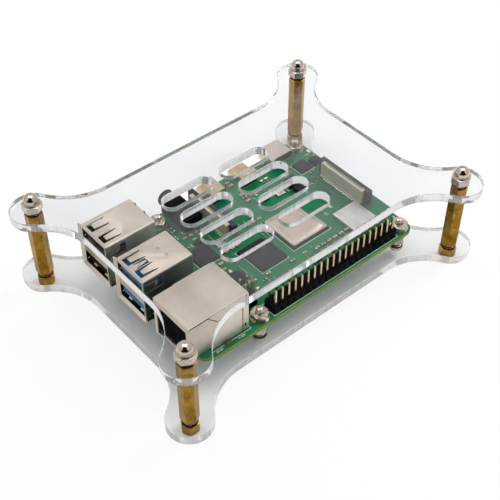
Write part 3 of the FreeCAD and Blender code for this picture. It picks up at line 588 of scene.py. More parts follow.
# Geometry Nodes
def geometry_tree(name, build, **sockets):
    """Tree with named inputs. What build makes of them is realized and given the finish."""
    group = bpy.data.node_groups.new(name, "GeometryNodeTree")
    for label, kind in {**sockets, "Finish": "Material"}.items():
        group.interface.new_socket(label, in_out="INPUT", socket_type="NodeSocket" + kind)
    group.interface.new_socket("Geometry", in_out="OUTPUT", socket_type="NodeSocketGeometry")
    tree = Tree(group)
    given = tree.add("NodeGroupInput")
    real = tree.add("GeometryNodeRealizeInstances", {"Geometry": build(tree, given)})["Geometry"]
    inputs = {"Geometry": real, "Material": given["Finish"]}
    done = tree.add("GeometryNodeSetMaterial", inputs)["Geometry"]
    tree.add("NodeGroupOutput", {"Geometry": done})
    return group


def grow(name, group, values):
    """Runs a tree on an empty object and returns the plain mesh."""
    holder = placed(name, bpy.data.meshes.new(name))
    modifier = holder.modifiers.new(name, "NODES")
    modifier.node_group = group
    for item in group.interface.items_tree:
        if item.in_out == "INPUT":
            modifier[item.identifier] = values[item.name]
    return evaluated(holder)


def repeat_at_places(tree, given):
    """A piece at each point of another mesh."""
    shape, places = (tree.add("GeometryNodeObjectInfo", {"Object": given[name]})["Geometry"]
                     for name in ("Piece", "Places"))
    inputs = {"Points": places, "Instance": shape}
    return tree.add("GeometryNodeInstanceOnPoints", inputs)["Instances"]


def screw_thread(tree, given):
    """Helical ridge of triangular section round a core."""
    depth = given["Pitch"] * 0.42
    root = given["Radius"] - depth
    helix = {"Resolution": given["Steps"], "Rotations": given["Length"] / given["Pitch"],
             "Start Radius": root, "End Radius": root, "Height": given["Length"]}
    path = tree.add("GeometryNodeCurveSpiral", helix)["Curve"]
    ridge = tree.add("GeometryNodeCurvePrimitiveCircle", {"Resolution": 4, "Radius": depth})["Curve"]
    inputs = {"Curve": path, "Profile Curve": ridge, "Fill Caps": True}
    return tree.add("GeometryNodeCurveToMesh", inputs)["Mesh"]


repeat_tree = geometry_tree("repeat_at_places", repeat_at_places, Piece="Object", Places="Object")
thread_tree = geometry_tree("screw_thread", screw_thread, Radius="Float", Pitch="Float", Length="Float",
                            Steps="Int")


def repeated(name, template, places, look, stands_for=(), smooth=30.0):
    """One piece made of copies of a template mesh (in millimetres) at each (x, y) place."""
    points = bpy.data.meshes.new(name + "_places")
    points.from_pydata([Vector((x, y, 0)) * MM for x, y in places], [], [])
    holders = [placed(name + "_template", to_mesh(name + "_template", template)),
               placed(name + "_places", points)]
    mesh = grow(name, repeat_tree, {"Piece": holders[0], "Places": holders[1], "Finish": finishes[look]})
    for holder in holders:
        bpy.data.objects.remove(holder)
    finish_piece(name, mesh, look, stands_for=stands_for, smooth=smooth)


def add_thread(bm, r, low, length, pitch):
    """Adds a threaded stretch along Z: the ridge and its core."""
    values = {"Radius": r, "Pitch": pitch, "Length": length, "Steps": 20, "Finish": finishes["nickel"]}
    merge(bm, opened(grow("thread", thread_tree, values)), Matrix.Translation((0, 0, low)))
    core_r = r - pitch * 0.3
    add_lathe(bm, [(0, low), (core_r, low), (core_r, low + length), (0, low + length)], 28)


# Clear plates
def bearing(start, end):
    """Direction from one (x, y) point to another, in degrees."""
    return math.degrees(math.atan2(end[1] - start[1], end[0] - start[0]))


def plate_corner(side):
    """Outline points of one lobe with half a hollow on either side; side is +1 at the port end."""
    reach = lobe_r + neck_r
    long_y = waist_y + neck_r
    short_x = waist_x + neck_r + (port_side_swell if side > 0 else 0.0)
    post = (post_x, post_y)
    along = (post_x - math.sqrt(reach ** 2 - (long_y - post_y) ** 2), long_y)
    across = (short_x, post_y - math.sqrt(reach ** 2 - (short_x - post_x) ** 2))
    corner = arc(*along, neck_r, -90, bearing(along, post), 18)
    corner += arc(*post, lobe_r, bearing(post, along), bearing(post, across), 52)[1:]
    corner += arc(*across, neck_r, bearing(across, post), 180, 18)[1:]
    return corner


def plate_loop():
    """Bone-shaped outline of four lobes and four hollow sides."""
    loop = []
    for sx, sy in ((1, 1), (1, -1), (-1, -1), (-1, 1)):
        points = [(sx * x, sy * y) for x, y in plate_corner(sx)]
        if sx * sy < 0:
            points.reverse()
        loop += points
    return loop


def vent_loops():
    """Round-ended slots in columns and rows."""
    loops = []
    r = vent_width / 2
    straight = vent_length / 2 - r
    for column in range(vent_columns):
        for row in range(vent_rows):
            x = vent_x + (column - (vent_columns - 1) / 2) * (vent_length + vent_bridge_x)
            y = vent_y + (row - (vent_rows - 1) / 2) * (vent_width + vent_bridge_y)
            loops.append(arc(x + straight, y, r, -90, 90, 24) + arc(x - straight, y, r, 90, 270, 24))
    return loops


def clear_plate(name, node, low, holes, looks):
    """Sheet with one look for its faces and screw holes, one for its cut sides and one for its rims."""
    own = flat_sheet([plate_loop()] + holes, low, low + plate_t, plate_edge)
    hole_reach = 2.0
    for face in own.faces:
        rise = abs(face.normal.z)
        centre = face.calc_center_median()
        in_hole = any(math.hypot(centre.x - x, centre.y - y) < hole_reach for x, y in fixing_places)
        face.material_index = 0 if rise > 0.99 or in_hole else 1 if rise < 0.1 else 2
    add_piece(name, own, looks, stands_for=(node,), smooth=12.0)


board_nuts = centres_of("board_nuts")
post_places = [(sx * post_x, sy * post_y) for sx in (-1, 1) for sy in (-1, 1)]
fixing_places = post_places + board_nuts
post_loops = [circle(x, y, post_hole_r) for x, y in post_places]
board_loops = [circle(x, y, board_hole_r) for x, y in board_nuts]
clear_plate("base_plate_sheet", "base_plate", base_bottom, post_loops + board_loops,
            ("base_face", "base_edge", "base_edge"))
# The top plate's bevelled rims get a grey share: painted shade
clear_plate("top_plate_sheet", "top_plate", top_bottom, post_loops + vent_loops(),
            ("clear_acrylic", "clear_edge", "clear_arris"))


# Corner posts
def foot_template():
    bm = turned_hex(0, base_bottom, post_flats, math.pi / 6)
    add_thread(bm, stud_r, base_bottom, plate_t + 0.2, thread_pitch)
    return bm


def standoff_template():
    bm = turned_hex(base_top, top_bottom, post_flats)
    add_thread(bm, stud_r, top_bottom, plate_t, thread_pitch)
    return bm


def dome_ball_template():
    """Ball with a small neck groove where it meets the nut."""
    bm = bmesh.new()
    nut_top = top_top + dome_hex_h
    centre = nut_top + dome_ball_lift
    profile = [(0, nut_top - 0.2), (dome_neck_r, nut_top - 0.2), (dome_neck_r, nut_top)]
    profile += [(r, centre + rise) for r, rise in arc(0, 0, dome_ball_r, -21, 90, 16)]
    profile[-1] = (0, centre + dome_ball_r)
    add_lathe(bm, profile, 56)
    return bm


repeated("corner_feet_turned", foot_template(), post_places, "brass", stands_for=("corner_feet",))
repeated("corner_standoffs_turned", standoff_template(), post_places, "brass",
         stands_for=("corner_standoffs",))
repeated("dome_nut_balls", dome_ball_template(), post_places, "nickel", stands_for=("dome_nuts",),
         smooth=24.0)
dome_hexagon = turned_hex(top_top, top_top + dome_hex_h, dome_flats, chamfer_low=False)
repeated("dome_nut_hexagons", dome_hexagon, post_places, "nickel_satin")


# Board fixings
def board_screw_template():
    """Pan head with a cross recess below, thread and rounded end above."""
    low, high = heights("board_screws")
    bm = bmesh.new()
    head = ((0, 0.08), (1.2, 0.02), (1.75, 0.12), (2.1, 0.45), (screw_head_r, 0.95))
    profile = [(r, low + rise) for r, rise in head] + [(screw_head_r, base_bottom), (0, base_bottom)]
    add_lathe(bm, profile)
    for turn in (0, math.pi / 2):
        add_block(bm, (-1.1, -0.2, low), (1.1, 0.2, low + 0.1), 0.04, 1, Matrix.Rotation(turn, 4, "Z"))
    nut_top = heights("board_nuts")[1]
    add_thread(bm, screw_r, base_bottom, nut_top - 0.15 - base_bottom, screw_pitch)
    end = ((1.0, 0.75), (0.96, 0.45), (0.8, 0.2), (0.5, 0.05), (0, 0))
    profile = [(0, nut_top), (screw_r, nut_top)] + [(screw_r * share, high - drop) for share, drop in end]
    add_lathe(bm, profile, 28)
    return bm


repeated("board_screws_threaded", board_screw_template(), board_nuts, "nickel_satin",
         stands_for=("board_screws",))
for node, flats, bore in (("board_nuts", 5.0, 1.25), ("board_spacers", 4.5, board_hole_r)):
    template = turned_hex(*heights(node), flats, bore=bore)
    repeated(node + "_turned", template, board_nuts, "nickel_satin", stands_for=(node,))


# Circuit board
def circuit_board():
    """Laminate with its fixing holes and a hole for each pin; the cut edge shows the bare core."""
    pins = centres_of("pin_header_pins") + centres_of("small_header_pins")
    loops = [rounded(board_low.xy, board_high.xy, board_corner_r, 10)]
    loops += [circle(x, y, board_hole_r, 32) for x, y in board_nuts]
    loops += [circle(x, y, pin_hole_r, 16) for x, y in pins]
    own = flat_sheet(loops, board_bottom, board_top, 0.05)
    for face in own.faces:
        face.material_index = 0 if abs(face.normal.z) > 0.9 else 1
    add_piece("circuit_board_laminate", own, ("board_green", "board_core"), stands_for=("circuit_board",))


def ring_pads():
    """Tinned rings round the fixing holes, on both sides."""
    bm = bmesh.new()
    pad_t, pad_r = 0.03, 3.0
    for x, y in board_nuts:
        for z in (board_top, board_bottom - pad_t):
            merge(bm, flat_sheet([circle(x, y, pad_r, 40), circle(x, y, board_hole_r, 32)], z, z + pad_t))
    add_piece("fixing_hole_pads", bm, "copper")


circuit_board()
ring_pads()


def add_ink(bm, low, high):
    """Printed line or spot on the board between two (x, y) corners."""
    add_block(bm, (*low, board_top), (*high, board_top + ink_t))


def add_frame(bm, node, margin):
    """Printed frame round the part of a node."""
    low, high = box_mm(node)
    x0, y0 = low.x - margin, low.y - margin
    x1, y1 = high.x + margin, high.y + margin
    w = 0.15
    add_ink(bm, (x0, y0), (x1, y0 + w))
    add_ink(bm, (x0, y1 - w), (x1, y1))
    add_ink(bm, (x0, y0 + w), (x0 + w, y1 - w))
    add_ink(bm, (x1 - w, y0 + w), (x1, y1 - w))


def printed_lines():
    """Outlines round the larger parts, ticks beside the header, lines and marks by the network jack."""
    bm = bmesh.new()
    for node, margin in (("processor_base", 0.45), ("memory_chip", 0.4), ("port_controller_chip", 0.4),
                         ("power_chip", 0.4), ("network_coil", 0.4), ("pin_header_base", 0.35)):
        add_frame(bm, node, margin)
    add_ink(bm, (22.4, 27.0), (29.9, 27.14))
    add_ink(bm, (22.4, 25.9), (22.54, 27.0))
    add_ink(bm, (32.4, 27.0), (37.0, 27.14))
    tick_x, tick_y, tick_step = -34.6, 22.2, 2.54
    for i in range(14):
        x = tick_x + i * tick_step
        add_ink(bm, (x, tick_y - (0.9 if i % 5 else 1.3)), (x + 0.16, tick_y))
    for x in (25.4, 25.9, 26.4, 27.3, 33.6, 34.1, 34.9, 35.4):
        add_ink(bm, (x, 27.45), (x + 0.22, 28.1))
    add_piece("printed_outlines", bm, "legend")
    part = bmesh.new()
    add_block(part, (30.5, 26.95, board_top), (31.7, 27.75, board_top + 0.5), 0.06)
    add_piece("jack_foot_part", part, "cap_red")


printed_lines()


# Headers
def pin_template(node):
    """Square pin, pointed at both ends."""
    low, high = (corner.z for corner in solids_of(node)[0])
    outlines = []
    for share, z in ((0.55, low), (1, low + 0.3), (1, high - 0.35), (0.5, high)):
        half = pin_half * share
        outlines.append([(-half, -half, z), (half, -half, z), (half, half, z), (-half, half, z)])
    own = lofted(outlines)
    ease(own, 60, 0.04, 1)
    return own


for header in ("pin_header", "small_header"):
    places = centres_of(header + "_pins")
    repeated(header + "_pins_plated", pin_template(header + "_pins"), places, "gold",
             stands_for=(header + "_pins",), smooth=0)
    softened(header + "_base", header + "_base_moulded", "black_plastic", 0.06)
    joint = bmesh.new()
    cone = ((0, 0.75), (0.3, 0.7), (0.42, 0.35), (0.85, 0), (0, 0))
    add_lathe(joint, [(r, board_bottom - drop) for r, drop in cone], 14)
    repeated(header + "_solder", joint, places, "solder_tin")


# Parts that keep the node's shape with broken edges
for node, look, width in (
    ("network_jack_insert", "black_plastic", 0.08),
    ("network_jack_contacts", "gold", 0.05),
    ("audio_jack", "black_plastic", 0.08),
    ("video_port_shells", "gold", 0.05),
    ("video_port_tongues", "black_plastic", 0.05),
    ("power_port_shell", "sheet_steel", 0.05),
    ("power_port_tongue", "black_plastic", 0.05),
    ("display_connector_body", "ivory_plastic", 0.06),
    ("camera_connector_body", "ivory_plastic", 0.06),
    ("processor_base", "chip_black", 0.05),
    ("memory_chip", "chip_black", 0.05),
    ("port_controller_chip", "chip_black", 0.05),
    ("power_chip", "chip_black", 0.05),
    ("radio_shield", "shield_metal", 0.08),
    ("network_coil", "chip_black", 0.1),
    ("card_slot", "sheet_steel", 0.05),
    ("power_inductors", "chip_black", 0.15),
    ("clock_crystals", "solder_tin", 0.1),
    ("voltage_regulators", "chip_black", 0.06),
    ("status_lights", "light_white", 0.08),
):
    softened(node, node + "_finished", look, width)


def cable_latch(name, body):
    """Lifting bar whose ears reach only part of the way along the connector's ends."""
    node = name + "_latch"
    ear_tip, ear_cut = 0.3, 1.0
    high = box_mm(node)[1]
    own = cad_mesh(node)
    for vert in own.verts:
        if vert.co.x > high.x - ear_tip:
            vert.co.x -= ear_cut
    softened(node, node + "_moulded", "grey_plastic", 0.08, own, body)


cable_latch("display_connector", "display_latch")
cable_latch("camera_connector", "camera_latch")


def processor_lid():
    """Stamped lid: a low rim, a sloping step and a flat top."""
    low, high = box_mm("processor_lid")
    foot = ((0.05, 0), (0, 0.05), (0, 0.42), (0.08, 0.5), (0.8, 0.52), (0.9, 0.56))
    crown = ((1.6, 0.1), (1.72, 0.02), (1.88, 0))
    steps = [(inset, low.z + rise) for inset, rise in foot]
    steps += [(inset, high.z - drop) for inset, drop in crown]
    outlines = []
    for inset, z in steps:
        loop = rounded((low.x + inset, low.y + inset), (high.x - inset, high.y - inset), 0.7, 5)
        outlines.append([(x, y, z) for x, y in loop])
    own = lofted(outlines)
    add_piece("processor_lid_stamped", own, "lid_metal", stands_for=("processor_lid",), smooth=22.0)


processor_lid()


# Double ports
port_front, port_back = 43.9, 26.7
port_side_y = 6.55
leaf_root_x, leaf_tip_x = 37.3, 41.9
leaf_root_half, leaf_tip_half = 1.35, 0.85
leaf_spread = 6.1
top_leaf_drop, side_leaf_drop = 1.2, 0.8
mouth_levels = (16.5, 24.6)
tongue_root_x = 34.0
tongue_lowered = 0.9
# How far in from the top or a side a corner of the cover still counts as part of it
sheet_reach = 0.5


def slice_faces(own, chosen, places):
    """Cuts the chosen faces across at each place along X, so that they can bend."""
    bmesh.ops.triangulate(own, faces=[f for f in own.faces if chosen(f)])
    axis = Vector((1, 0, 0))
    for place in places:
        faces = [f for f in own.faces if chosen(f)]
        geometry = set(faces)
        for face in faces:
            geometry.update(face.edges)
            geometry.update(face.verts)
        bmesh.ops.bisect_plane(own, geom=list(geometry), dist=1e-4, plane_co=axis * place, plane_no=axis)


def leaf_place(along, across):
    """How far along a leaf a point lies, root 0 to tip 1, and whether it is part of the leaf."""
    s = along / (leaf_tip_x - leaf_root_x)
    half = leaf_root_half + (leaf_tip_half - leaf_root_half) * s + 0.06
    return s, 0 < s < 1.02 and any(abs(offset) < half for offset in across)


def port_shell(colour):
    """Folded cover with its leaves bent inwards, painted shade on the inner faces of its mouths and painted
    gap shade on the sides beside its neighbour.
    """
    node = colour + "_port_shell"
    low, high = box_mm(node)
    centre = (low.y + high.y) / 2
    top = high.z
    side_root_x = port_front - 0.5

    def on_roof(f):
        return min(v.co.z for v in f.verts) > top - sheet_reach

    def on_wall(f):
        return min(abs(v.co.y - centre) for v in f.verts) > port_side_y - sheet_reach

    own = cad_mesh(node)
    cuts = [(leaf_tip_x - leaf_root_x) * s for s in (0.3, 0.55, 0.75, 0.9)]
    slice_faces(own, on_roof, [leaf_root_x + cut for cut in cuts])
    slice_faces(own, on_wall, [side_root_x - cut for cut in cuts])
    for vert in own.verts:
        x, y, z = vert.co
        y -= centre
        s, on_leaf = leaf_place(x - leaf_root_x, (y - leaf_spread / 2, y + leaf_spread / 2))
        if z > top - sheet_reach and on_leaf:
            vert.co.z -= top_leaf_drop * s ** 4
        s, on_leaf = leaf_place(side_root_x - x, [z - level for level in mouth_levels])
        if abs(y) > port_side_y - sheet_reach and on_leaf:
            vert.co.y -= math.copysign(side_leaf_drop * s ** 3, y)
    own.normal_update()
    # Faces beside a neighbouring stack get the sheet with painted gap shade
    gap_sides, gap_shade_look = ((1,), "sheet_gap") if colour == "black" else ((-1, 1), "sheet_gap_deep")
    for face in own.faces:
        middle_x, middle_y, _ = face.calc_center_median() - Vector((0, centre, 0))
        on_side = abs(middle_y) > port_side_y - 0.45 and middle_x < port_front + 0.1
        inward = on_side and face.normal.y * middle_y < -0.5
        gets_gap_shade = on_side and any(face.normal.y * side > 0.5 for side in gap_sides)
        face.material_index = 1 if inward else 2 if gets_gap_shade else 0
    ease(own, 40, 0.06)
    looks = ("sheet_steel", "sheet_shaded", gap_shade_look)
    add_piece(colour + "_port_cover", own, looks, stands_for=(node,), smooth=16.0)


def port_insert(colour):
    """Moulded core and contacts, the tongues a little lower in each mouth than the node has them."""
    low, high = box_mm(colour + "_port_insert")
    for node, look, width in ((colour + "_port_insert", colour + "_plastic", 0.08),
                              (colour + "_port_contacts", "gold", 0.03)):
        own = cad_mesh(node)
        for vert in own.verts:
            x, y, z = vert.co
            if x > tongue_root_x and low.y + 0.3 < y < high.y - 0.3 and low.z + 2 < z < high.z - 0.5:
                vert.co.z -= tongue_lowered
        softened(node, node + "_moulded", look, width, own)


def port_dividers(colour):
    """Strip between the mouths in a darker copy of the plated sheet (painted shade), and the floor of the
    lower mouth with its two sprung tabs.
    """
    node = colour + "_port_dividers"
    low, high = box_mm(node)
    own = cad_mesh(node)
    own.normal_update()
    for face in own.faces:
        # The floor of the lower mouth gets the dark sheet: painted shade
        face.material_index = 1 if face.calc_center_median().z < low.z + 0.5 and face.normal.x < 0.5 else 0
    softened(node, colour + "_port_folded_strip", ("sheet_inside", "sheet_shaded"), 0.05, own, angle=40)
    bm = bmesh.new()
    tab_half, sheet_half = 0.75, 0.12
    bend = ((38.6, 0.36), (40.2, 0.62), (41.6, 0.95), (42.4, 1.0), (43.1, 0.5))
    for side in (-1, 1):
        y0, y1 = ((low.y + high.y) / 2 + side * 2.9 + half for half in (-tab_half, tab_half))
        outlines = []
        for x, rise in bend:
            z0, z1 = low.z + rise - sheet_half, low.z + rise + sheet_half
            outlines.append([(x, y0, z0), (x, y1, z0), (x, y1, z1), (x, y0, z1)])
        merge(bm, lofted(outlines))
    add_piece(colour + "_port_floor_tabs", bm, "sheet_steel")


def port_dimples():
    """Two darker rings in the top of the blue stack for pressed dimples, and two dark blocks behind the
    black one for snap notches: painted shade.
    """
    top = heights("blue_port_shell")[1]
    dimple_rings = bmesh.new()
    for x, y in ((33.1, -1.6), (32.7, 2.0)):
        merge(dimple_rings, flat_sheet([circle(x, y, 0.5, 20), circle(x, y, 0.34, 20)], top - 0.02, top))
    add_piece("pressed_dimples", dimple_rings, "dimple_ring_painted_shade", smooth=50.0)
    notch_shades = bmesh.new()
    half = 0.35
    for y in (-21.3, -16.6):
        low, high = (port_back + 0.02, y - half, top - 0.5), (port_back + 0.22, y + half, top - 0.02)
        add_block(notch_shades, low, high, 0.05, 1)
    add_piece("snap_notches", notch_shades, "seam")


for colour in ("black", "blue"):
    port_shell(colour)
    port_insert(colour)
    port_dividers(colour)
port_dimples()


# Network jack
tab_front, tab_low_front = 37.1, 34.2
tab_rear, tab_low_rear = 23.9, 25.9
tab_low = 22.45
# Where the node's own side tabs end and where they turn
node_tab_low, node_tab_turn = 23.75, 25.45
jack_middle_x = 30.0


def strip_between(bm, start, end, y, width, proud):
    """Thin strip on an upright face, ending half a width beyond each of two (x, z) points."""
    (x0, z0), (x1, z1) = start, end
    length = math.hypot(x1 - x0, z1 - z0)
    dx, dz = (x1 - x0) / length * width / 2, (z1 - z0) / length * width / 2
    outlines = []
    for x, z in ((x0 - dx, z0 - dz), (x1 + dx, z1 + dz)):
        (xa, za), (xb, zb) = (x + dz, z - dx), (x - dz, z + dx)
        outlines.append([(xa, y, za), (xb, y, zb), (xb, y + proud, zb), (xa, y + proud, za)])
    merge(bm, lofted(outlines))


def network_jack():
    """Folded cover with a tab turned down over each side, and dark strips along the seams between its sheets
    and over the strap's hole: painted shade of the gaps.
    """
    node = "network_jack_shell"
    low, high = box_mm(node)
    centre = (low.y + high.y) / 2
    own = cad_mesh(node)
    for vert in own.verts:
        x, y, z = vert.co
        if abs(y - centre) > high.y - centre - 0.32:
            if abs(z - node_tab_low) < 0.05:
                vert.co.z = tab_low
                vert.co.x = tab_low_front if x > jack_middle_x else tab_low_rear
            elif abs(z - node_tab_turn) < 0.02 and 25 < x < 38.5:
                vert.co.x = tab_front if x > jack_middle_x else tab_rear
    softened(node, "network_jack_folded_cover", "sheet_steel", 0.07, own)
    shade_strips = bmesh.new()
    top = high.z - 0.38
    front, back, floor = high.x - 0.3, low.x, low.z
    for start, end, width, proud in (
        ((front, top), (tab_front + 0.1, top), 0.34, 0.05),
        ((tab_front + 0.16, top), (tab_low_front + 0.16, tab_low - 0.05), 0.22, 0.28),
        ((tab_low_front, tab_low - 0.1), (tab_low_front - 2.0, tab_low - 0.1), 0.16, 0.28),
        ((tab_low_rear - 0.16, tab_low - 0.05), (tab_rear - 0.16, top), 0.2, 0.28),
        ((back + 2.15, floor + 0.1), (back + 2.15, floor + 9.5), 0.26, 0.03),
        ((back + 1.2, floor + 2.0), (back + 1.2, floor + 2.7), 0.6, 0.03),
    ):
        strip_between(shade_strips, start, end, high.y - 0.3, width, proud)
    add_piece("network_jack_seams", shade_strips, "seam")
    step = bmesh.new()
    add_block(step, (front - 0.6, low.y + 1.25, high.z - 4.6), (front, low.y + 2.7, high.z - 2.4), 0.06)
    # The step is in the darker inner copy of the plated sheet: painted shade
    add_piece("network_jack_step", step, "sheet_inside")


network_jack()


# Small parts with tinned ends
def add_capped(bm, low, high, look):
    """One chip part: a body between two tinned ends along the longer side."""
    size = high - low
    axis = 0 if size.x >= size.y else 1
    cap = 0.24 * size[axis]
    inset = Vector((0.04, 0.04, 0))
    inset[axis] = cap * 0.7
    add_block(bm, low + inset, high - inset - Vector((0, 0, 0.04)), 0.03, 1, look=look)
    rest = Vector((0, 0, 0))
    rest[axis] = size[axis] - cap
    add_block(bm, low, high - rest, 0.05, look=1)
    add_block(bm, low + rest, high, 0.05, look=1)


def capped_parts(node, *looks):
    """The chip parts of a node: looks of the bodies, of the ends and, if given, of each fifth body."""
    bm = bmesh.new()
    for number, (low, high) in enumerate(solids_of(node)):
        add_capped(bm, low, high, 2 if looks[2:] and number % 5 == 1 else 0)
    add_piece(node + "_capped", bm, looks, stands_for=(node,))


def small_parts():
    """The smallest parts, lying along or across the board, and the tinned test points."""
    bm = bmesh.new()
    for x, y, across, look in small_places:
        half = Vector((0.35, 0.75, 0) if across else (0.75, 0.35, 0))
        low = Vector((x, y, board_top)) - half
        add_capped(bm, low, Vector((x, y, board_top + 0.45)) + half, look)
    add_piece("smallest_parts", bm, ("capacitor_tan", "solder_tin", "cap_red", "chip_black", "light_white"))
    dots = bmesh.new()
    profile = [(r, board_top + rise) for r, rise in ((0, -0.02), (0.24, -0.02), (0.22, 0.02), (0, 0.03))]
    for x, y in test_points:
        add_lathe(dots, profile, 12, Matrix.Translation((x, y, 0)))
    add_piece("test_points", dots, "copper")


# Each of the smallest parts: x, y, whether it lies across, and its body by place in the looks above
small_places = (
    (-28.6, -15.6, False, 0), (-28.6, -14.6, False, 0), (-25.0, -12.4, True, 0), (-25.1, -10.2, True, 0),
    (-23.5, -19.4, False, 4), (-21.6, -19.4, False, 4), (-27.8, -5.2, False, 2), (-31.6, -6.2, False, 2),
    (-40.7, -18.2, False, 0), (-40.7, -10.6, True, 3), (-36.2, -10.6, False, 3), (-14.7, -14.2, True, 0),
    (14.6, 5.2, False, 0), (13.6, 7.2, True, 4), (15.6, 6.6, False, 0), (17.6, 5.0, True, 3),
    (16.4, -19.2, False, 2), (16.2, -17.7, False, 0), (17.8, -15.2, False, 3), (17.8, -14.0, False, 3),
    (14.6, -15.3, True, 0), (10.6, -11.2, True, 4), (17.4, -9.0, False, 2), (15.8, -8.8, True, 0),
    (13.3, -10.8, False, 0), (14.2, 16.2, True, 0), (8.0, 16.4, False, 3), (11.9, 17.6, False, 4),
    (-8.8, 15.6, False, 0), (-25.6, 5.0, True, 3), (-25.6, 7.4, True, 0), (-29.0, 5.6, True, 4),
)
test_points = [(-31.9 - 1.4 * i, -5.0 - 0.75 * i) for i in range(4)]
test_points += [(6.9, 17.3), (5.2, 17.3), (20.6, -8.2), (21.8, -8.2), (21.8, -6.6), (-12.2, 15.0)]
test_points += [(-4.6, -8.2), (-2.4, -8.2)]
capped_parts("chip_capacitors", "capacitor_tan", "solder_tin", "cap_red")
capped_parts("chip_resistors", "chip_black", "solder_tin")
small_parts()


# Flat-cable connectors: one bent tail for each contact
tail_pitch = 1.0


def connector_tails(node):
    low, high = box_mm(node)
    x0, x1, z = low.x, high.x, low.z
    profile = [(x0, z), (x1, z), (x1, z + 0.07), (x1 - 0.22, z + 0.1), (x0 + 0.14, z + 0.24), (x0, z + 0.25)]
    tail = lofted([[(x, y, h) for x, h in profile] for y in (-0.14, 0.14)])
    count = int((high.y - low.y - 0.3) / tail_pitch) + 1
    first = (low.y + high.y - (count - 1) * tail_pitch) / 2
    places = [(0, first + i * tail_pitch) for i in range(count)]
    repeated(node + "_tails", tail, places, "solder_tin", stands_for=(node,), smooth=0)


connector_tails("display_connector_pins")
connector_tails("camera_connector_pins")


# Stage, light and camera
floor_half = 4.0
floor_drop = 0.0002
floor_white, floor_white_mirrored = 0.86, 0.04
horizon_level, zenith_level = 0.5, 0.84
# The mirrored room, in cosines across and along the camera's view and upwards
room_across = (-0.761, 0.649, 0.0)
room_forward = (0.649, 0.761, 0.0)
sill = 0.1
door_reach, door_near, door_level = 0.82, 0.22, 0.01
window_half, window_near, window_far, window_level = 0.48, 0.2, -0.5, 2.2
beam_start, beam_full, beam_top, beam_side, beam_level = 0.715, 0.765, 0.84, -0.24, 0.06
plain_below = 0.2
camera_place = (0.144366, 0.169499, 0.230393)
camera_angles = (139.548, 44.856, 0.07)
focal_length, sensor_width = 72.013, 36.0


def make_floor():
    """Pale floor, nearly white to the camera. What is seen through the sheets keeps more of its shadows."""
    surface = Surface("pale_floor", Roughness=0.9)
    surface.feed("Base Color", surface.mixed(surface.noise(0.01, 2.0), (0.88, 0.88, 0.88), (0.9, 0.9, 0.9)))
    path = surface.add("ShaderNodeLightPath")
    mirrored = path["Is Glossy Ray"] + path["Is Transmission Ray"]
    share = (path["Is Camera Ray"] * floor_white + mirrored * floor_white_mirrored).clamped()
    white = surface.add("ShaderNodeEmission", {"Color": (1, 1, 1, 1), "Strength": 1.0})["Emission"]
    surface.show(surface.choose(share, surface.shader["BSDF"], white))
    bm = bmesh.new()
    bmesh.ops.create_grid(bm, x_segments=1, y_segments=1, size=floor_half)
    bmesh.ops.translate(bm, vec=(0, 0, -floor_drop), verts=bm.verts)
    mesh = bpy.data.meshes.new("floor")
    bm.to_mesh(mesh)
    bm.free()
    mesh.materials.append(surface.material)
    floor = placed("floor", mesh)


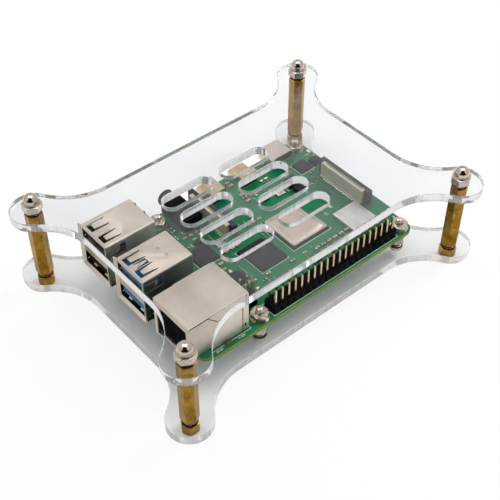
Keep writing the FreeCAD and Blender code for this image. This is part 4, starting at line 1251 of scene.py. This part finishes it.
def make_world():
    """Even studio light. Polished parts see a pale room with a window, a dark door and a roof beam."""
    world = bpy.data.worlds.new("studio")
    scene.world = world
    world.use_nodes = True
    tree = Tree(world.node_tree)
    direction = tree.add("ShaderNodeTexCoord")["Generated"]

    def along(*axis):
        return tree.add("ShaderNodeVectorMath", {0: direction, 1: axis}, operation="DOT_PRODUCT")["Value"]

    def light(strength, colour=(1, 1, 1, 1)):
        return tree.add("ShaderNodeBackground", {"Color": colour, "Strength": strength})["Background"]

    def sky(*stops):
        return light(1.0, tree.add("ShaderNodeValToRGB", {"Fac": height * 0.5 + 0.5}, stops)["Color"])

    across, forward, height = along(*room_across), along(*room_forward), along(0.0, 0.0, 1.0)
    room = sky((0.0, (0.5, 0.49, 0.48)), (0.5, (0.66, 0.65, 0.64)), (0.8, (0.82,) * 3), (1.0, (0.9,) * 3))
    door = (across.absolute() + height * 0.5).below(door_reach) * forward.above(door_near)
    window = across.absolute().below(window_half) * forward.below(window_near) * forward.above(window_far)
    door, window = door * height.above(sill), window * height.above(sill)
    beam = tree.ranged(height - across * 0.5, beam_start, beam_full) * forward.below(window_far)
    beam = beam * height.below(beam_top) * across.above(beam_side)
    room = tree.choose(beam, room, light(beam_level))
    mirrored = tree.choose(window, tree.choose(door, room, light(door_level)), light(window_level))
    path = tree.add("ShaderNodeLightPath")
    soft = sky((0.5, (horizon_level,) * 3), (1.0, (zenith_level,) * 3))
    lit = tree.choose((path["Is Glossy Ray"] + path["Is Transmission Ray"]).clamped(), soft, mirrored)
    plain = (path["Is Camera Ray"] + path["Is Transmission Ray"] * height.below(plain_below)).clamped()
    tree.add("ShaderNodeOutputWorld", {"Surface": tree.choose(plain, lit, light(1.0))})


def softbox(name, place, power):
    """Square lamp that lights but isn't mirrored; the world gives the reflections."""
    lamp = bpy.data.lights.new(name, "AREA")
    lamp.shape = "SQUARE"
    lamp.size = 0.3
    lamp.energy = power
    holder = placed(name, lamp)
    holder.location = place
    target = Vector((0, 0, 0.01))
    holder.rotation_euler = (target - Vector(place)).to_track_quat("-Z", "Y").to_euler()
    holder.visible_glossy = False


def make_camera():
    """Camera of the photograph, from its azimuth, elevation and roll in degrees and its place in metres."""
    azimuth, elevation, roll = (math.radians(a) for a in camera_angles)
    level = math.cos(elevation)
    back = Vector((math.sin(azimuth) * level, -math.cos(azimuth) * level, math.sin(elevation)))
    right = Vector((0, 0, 1)).cross(back).normalized()
    up = back.cross(right)
    turned_right = right * math.cos(roll) + up * math.sin(roll)
    turned_up = up * math.cos(roll) - right * math.sin(roll)
    lens = bpy.data.cameras.new("camera")
    lens.sensor_width = sensor_width
    lens.lens = focal_length
    lens.clip_start = 0.01
    lens.clip_end = 20.0
    scene.camera = placed("camera", lens)
    axes = Matrix((turned_right, turned_up, back)).transposed().to_4x4()
    scene.camera.matrix_world = Matrix.Translation(camera_place) @ axes


make_floor()
make_world()
softbox("key_left", (0.105, -0.385, 0.574), 0.95)
softbox("key_right", (-0.525, 0.07, 0.455), 2.35)
make_camera()
scene.view_settings.view_transform = "Standard"

bpy.context.view_layer.update()
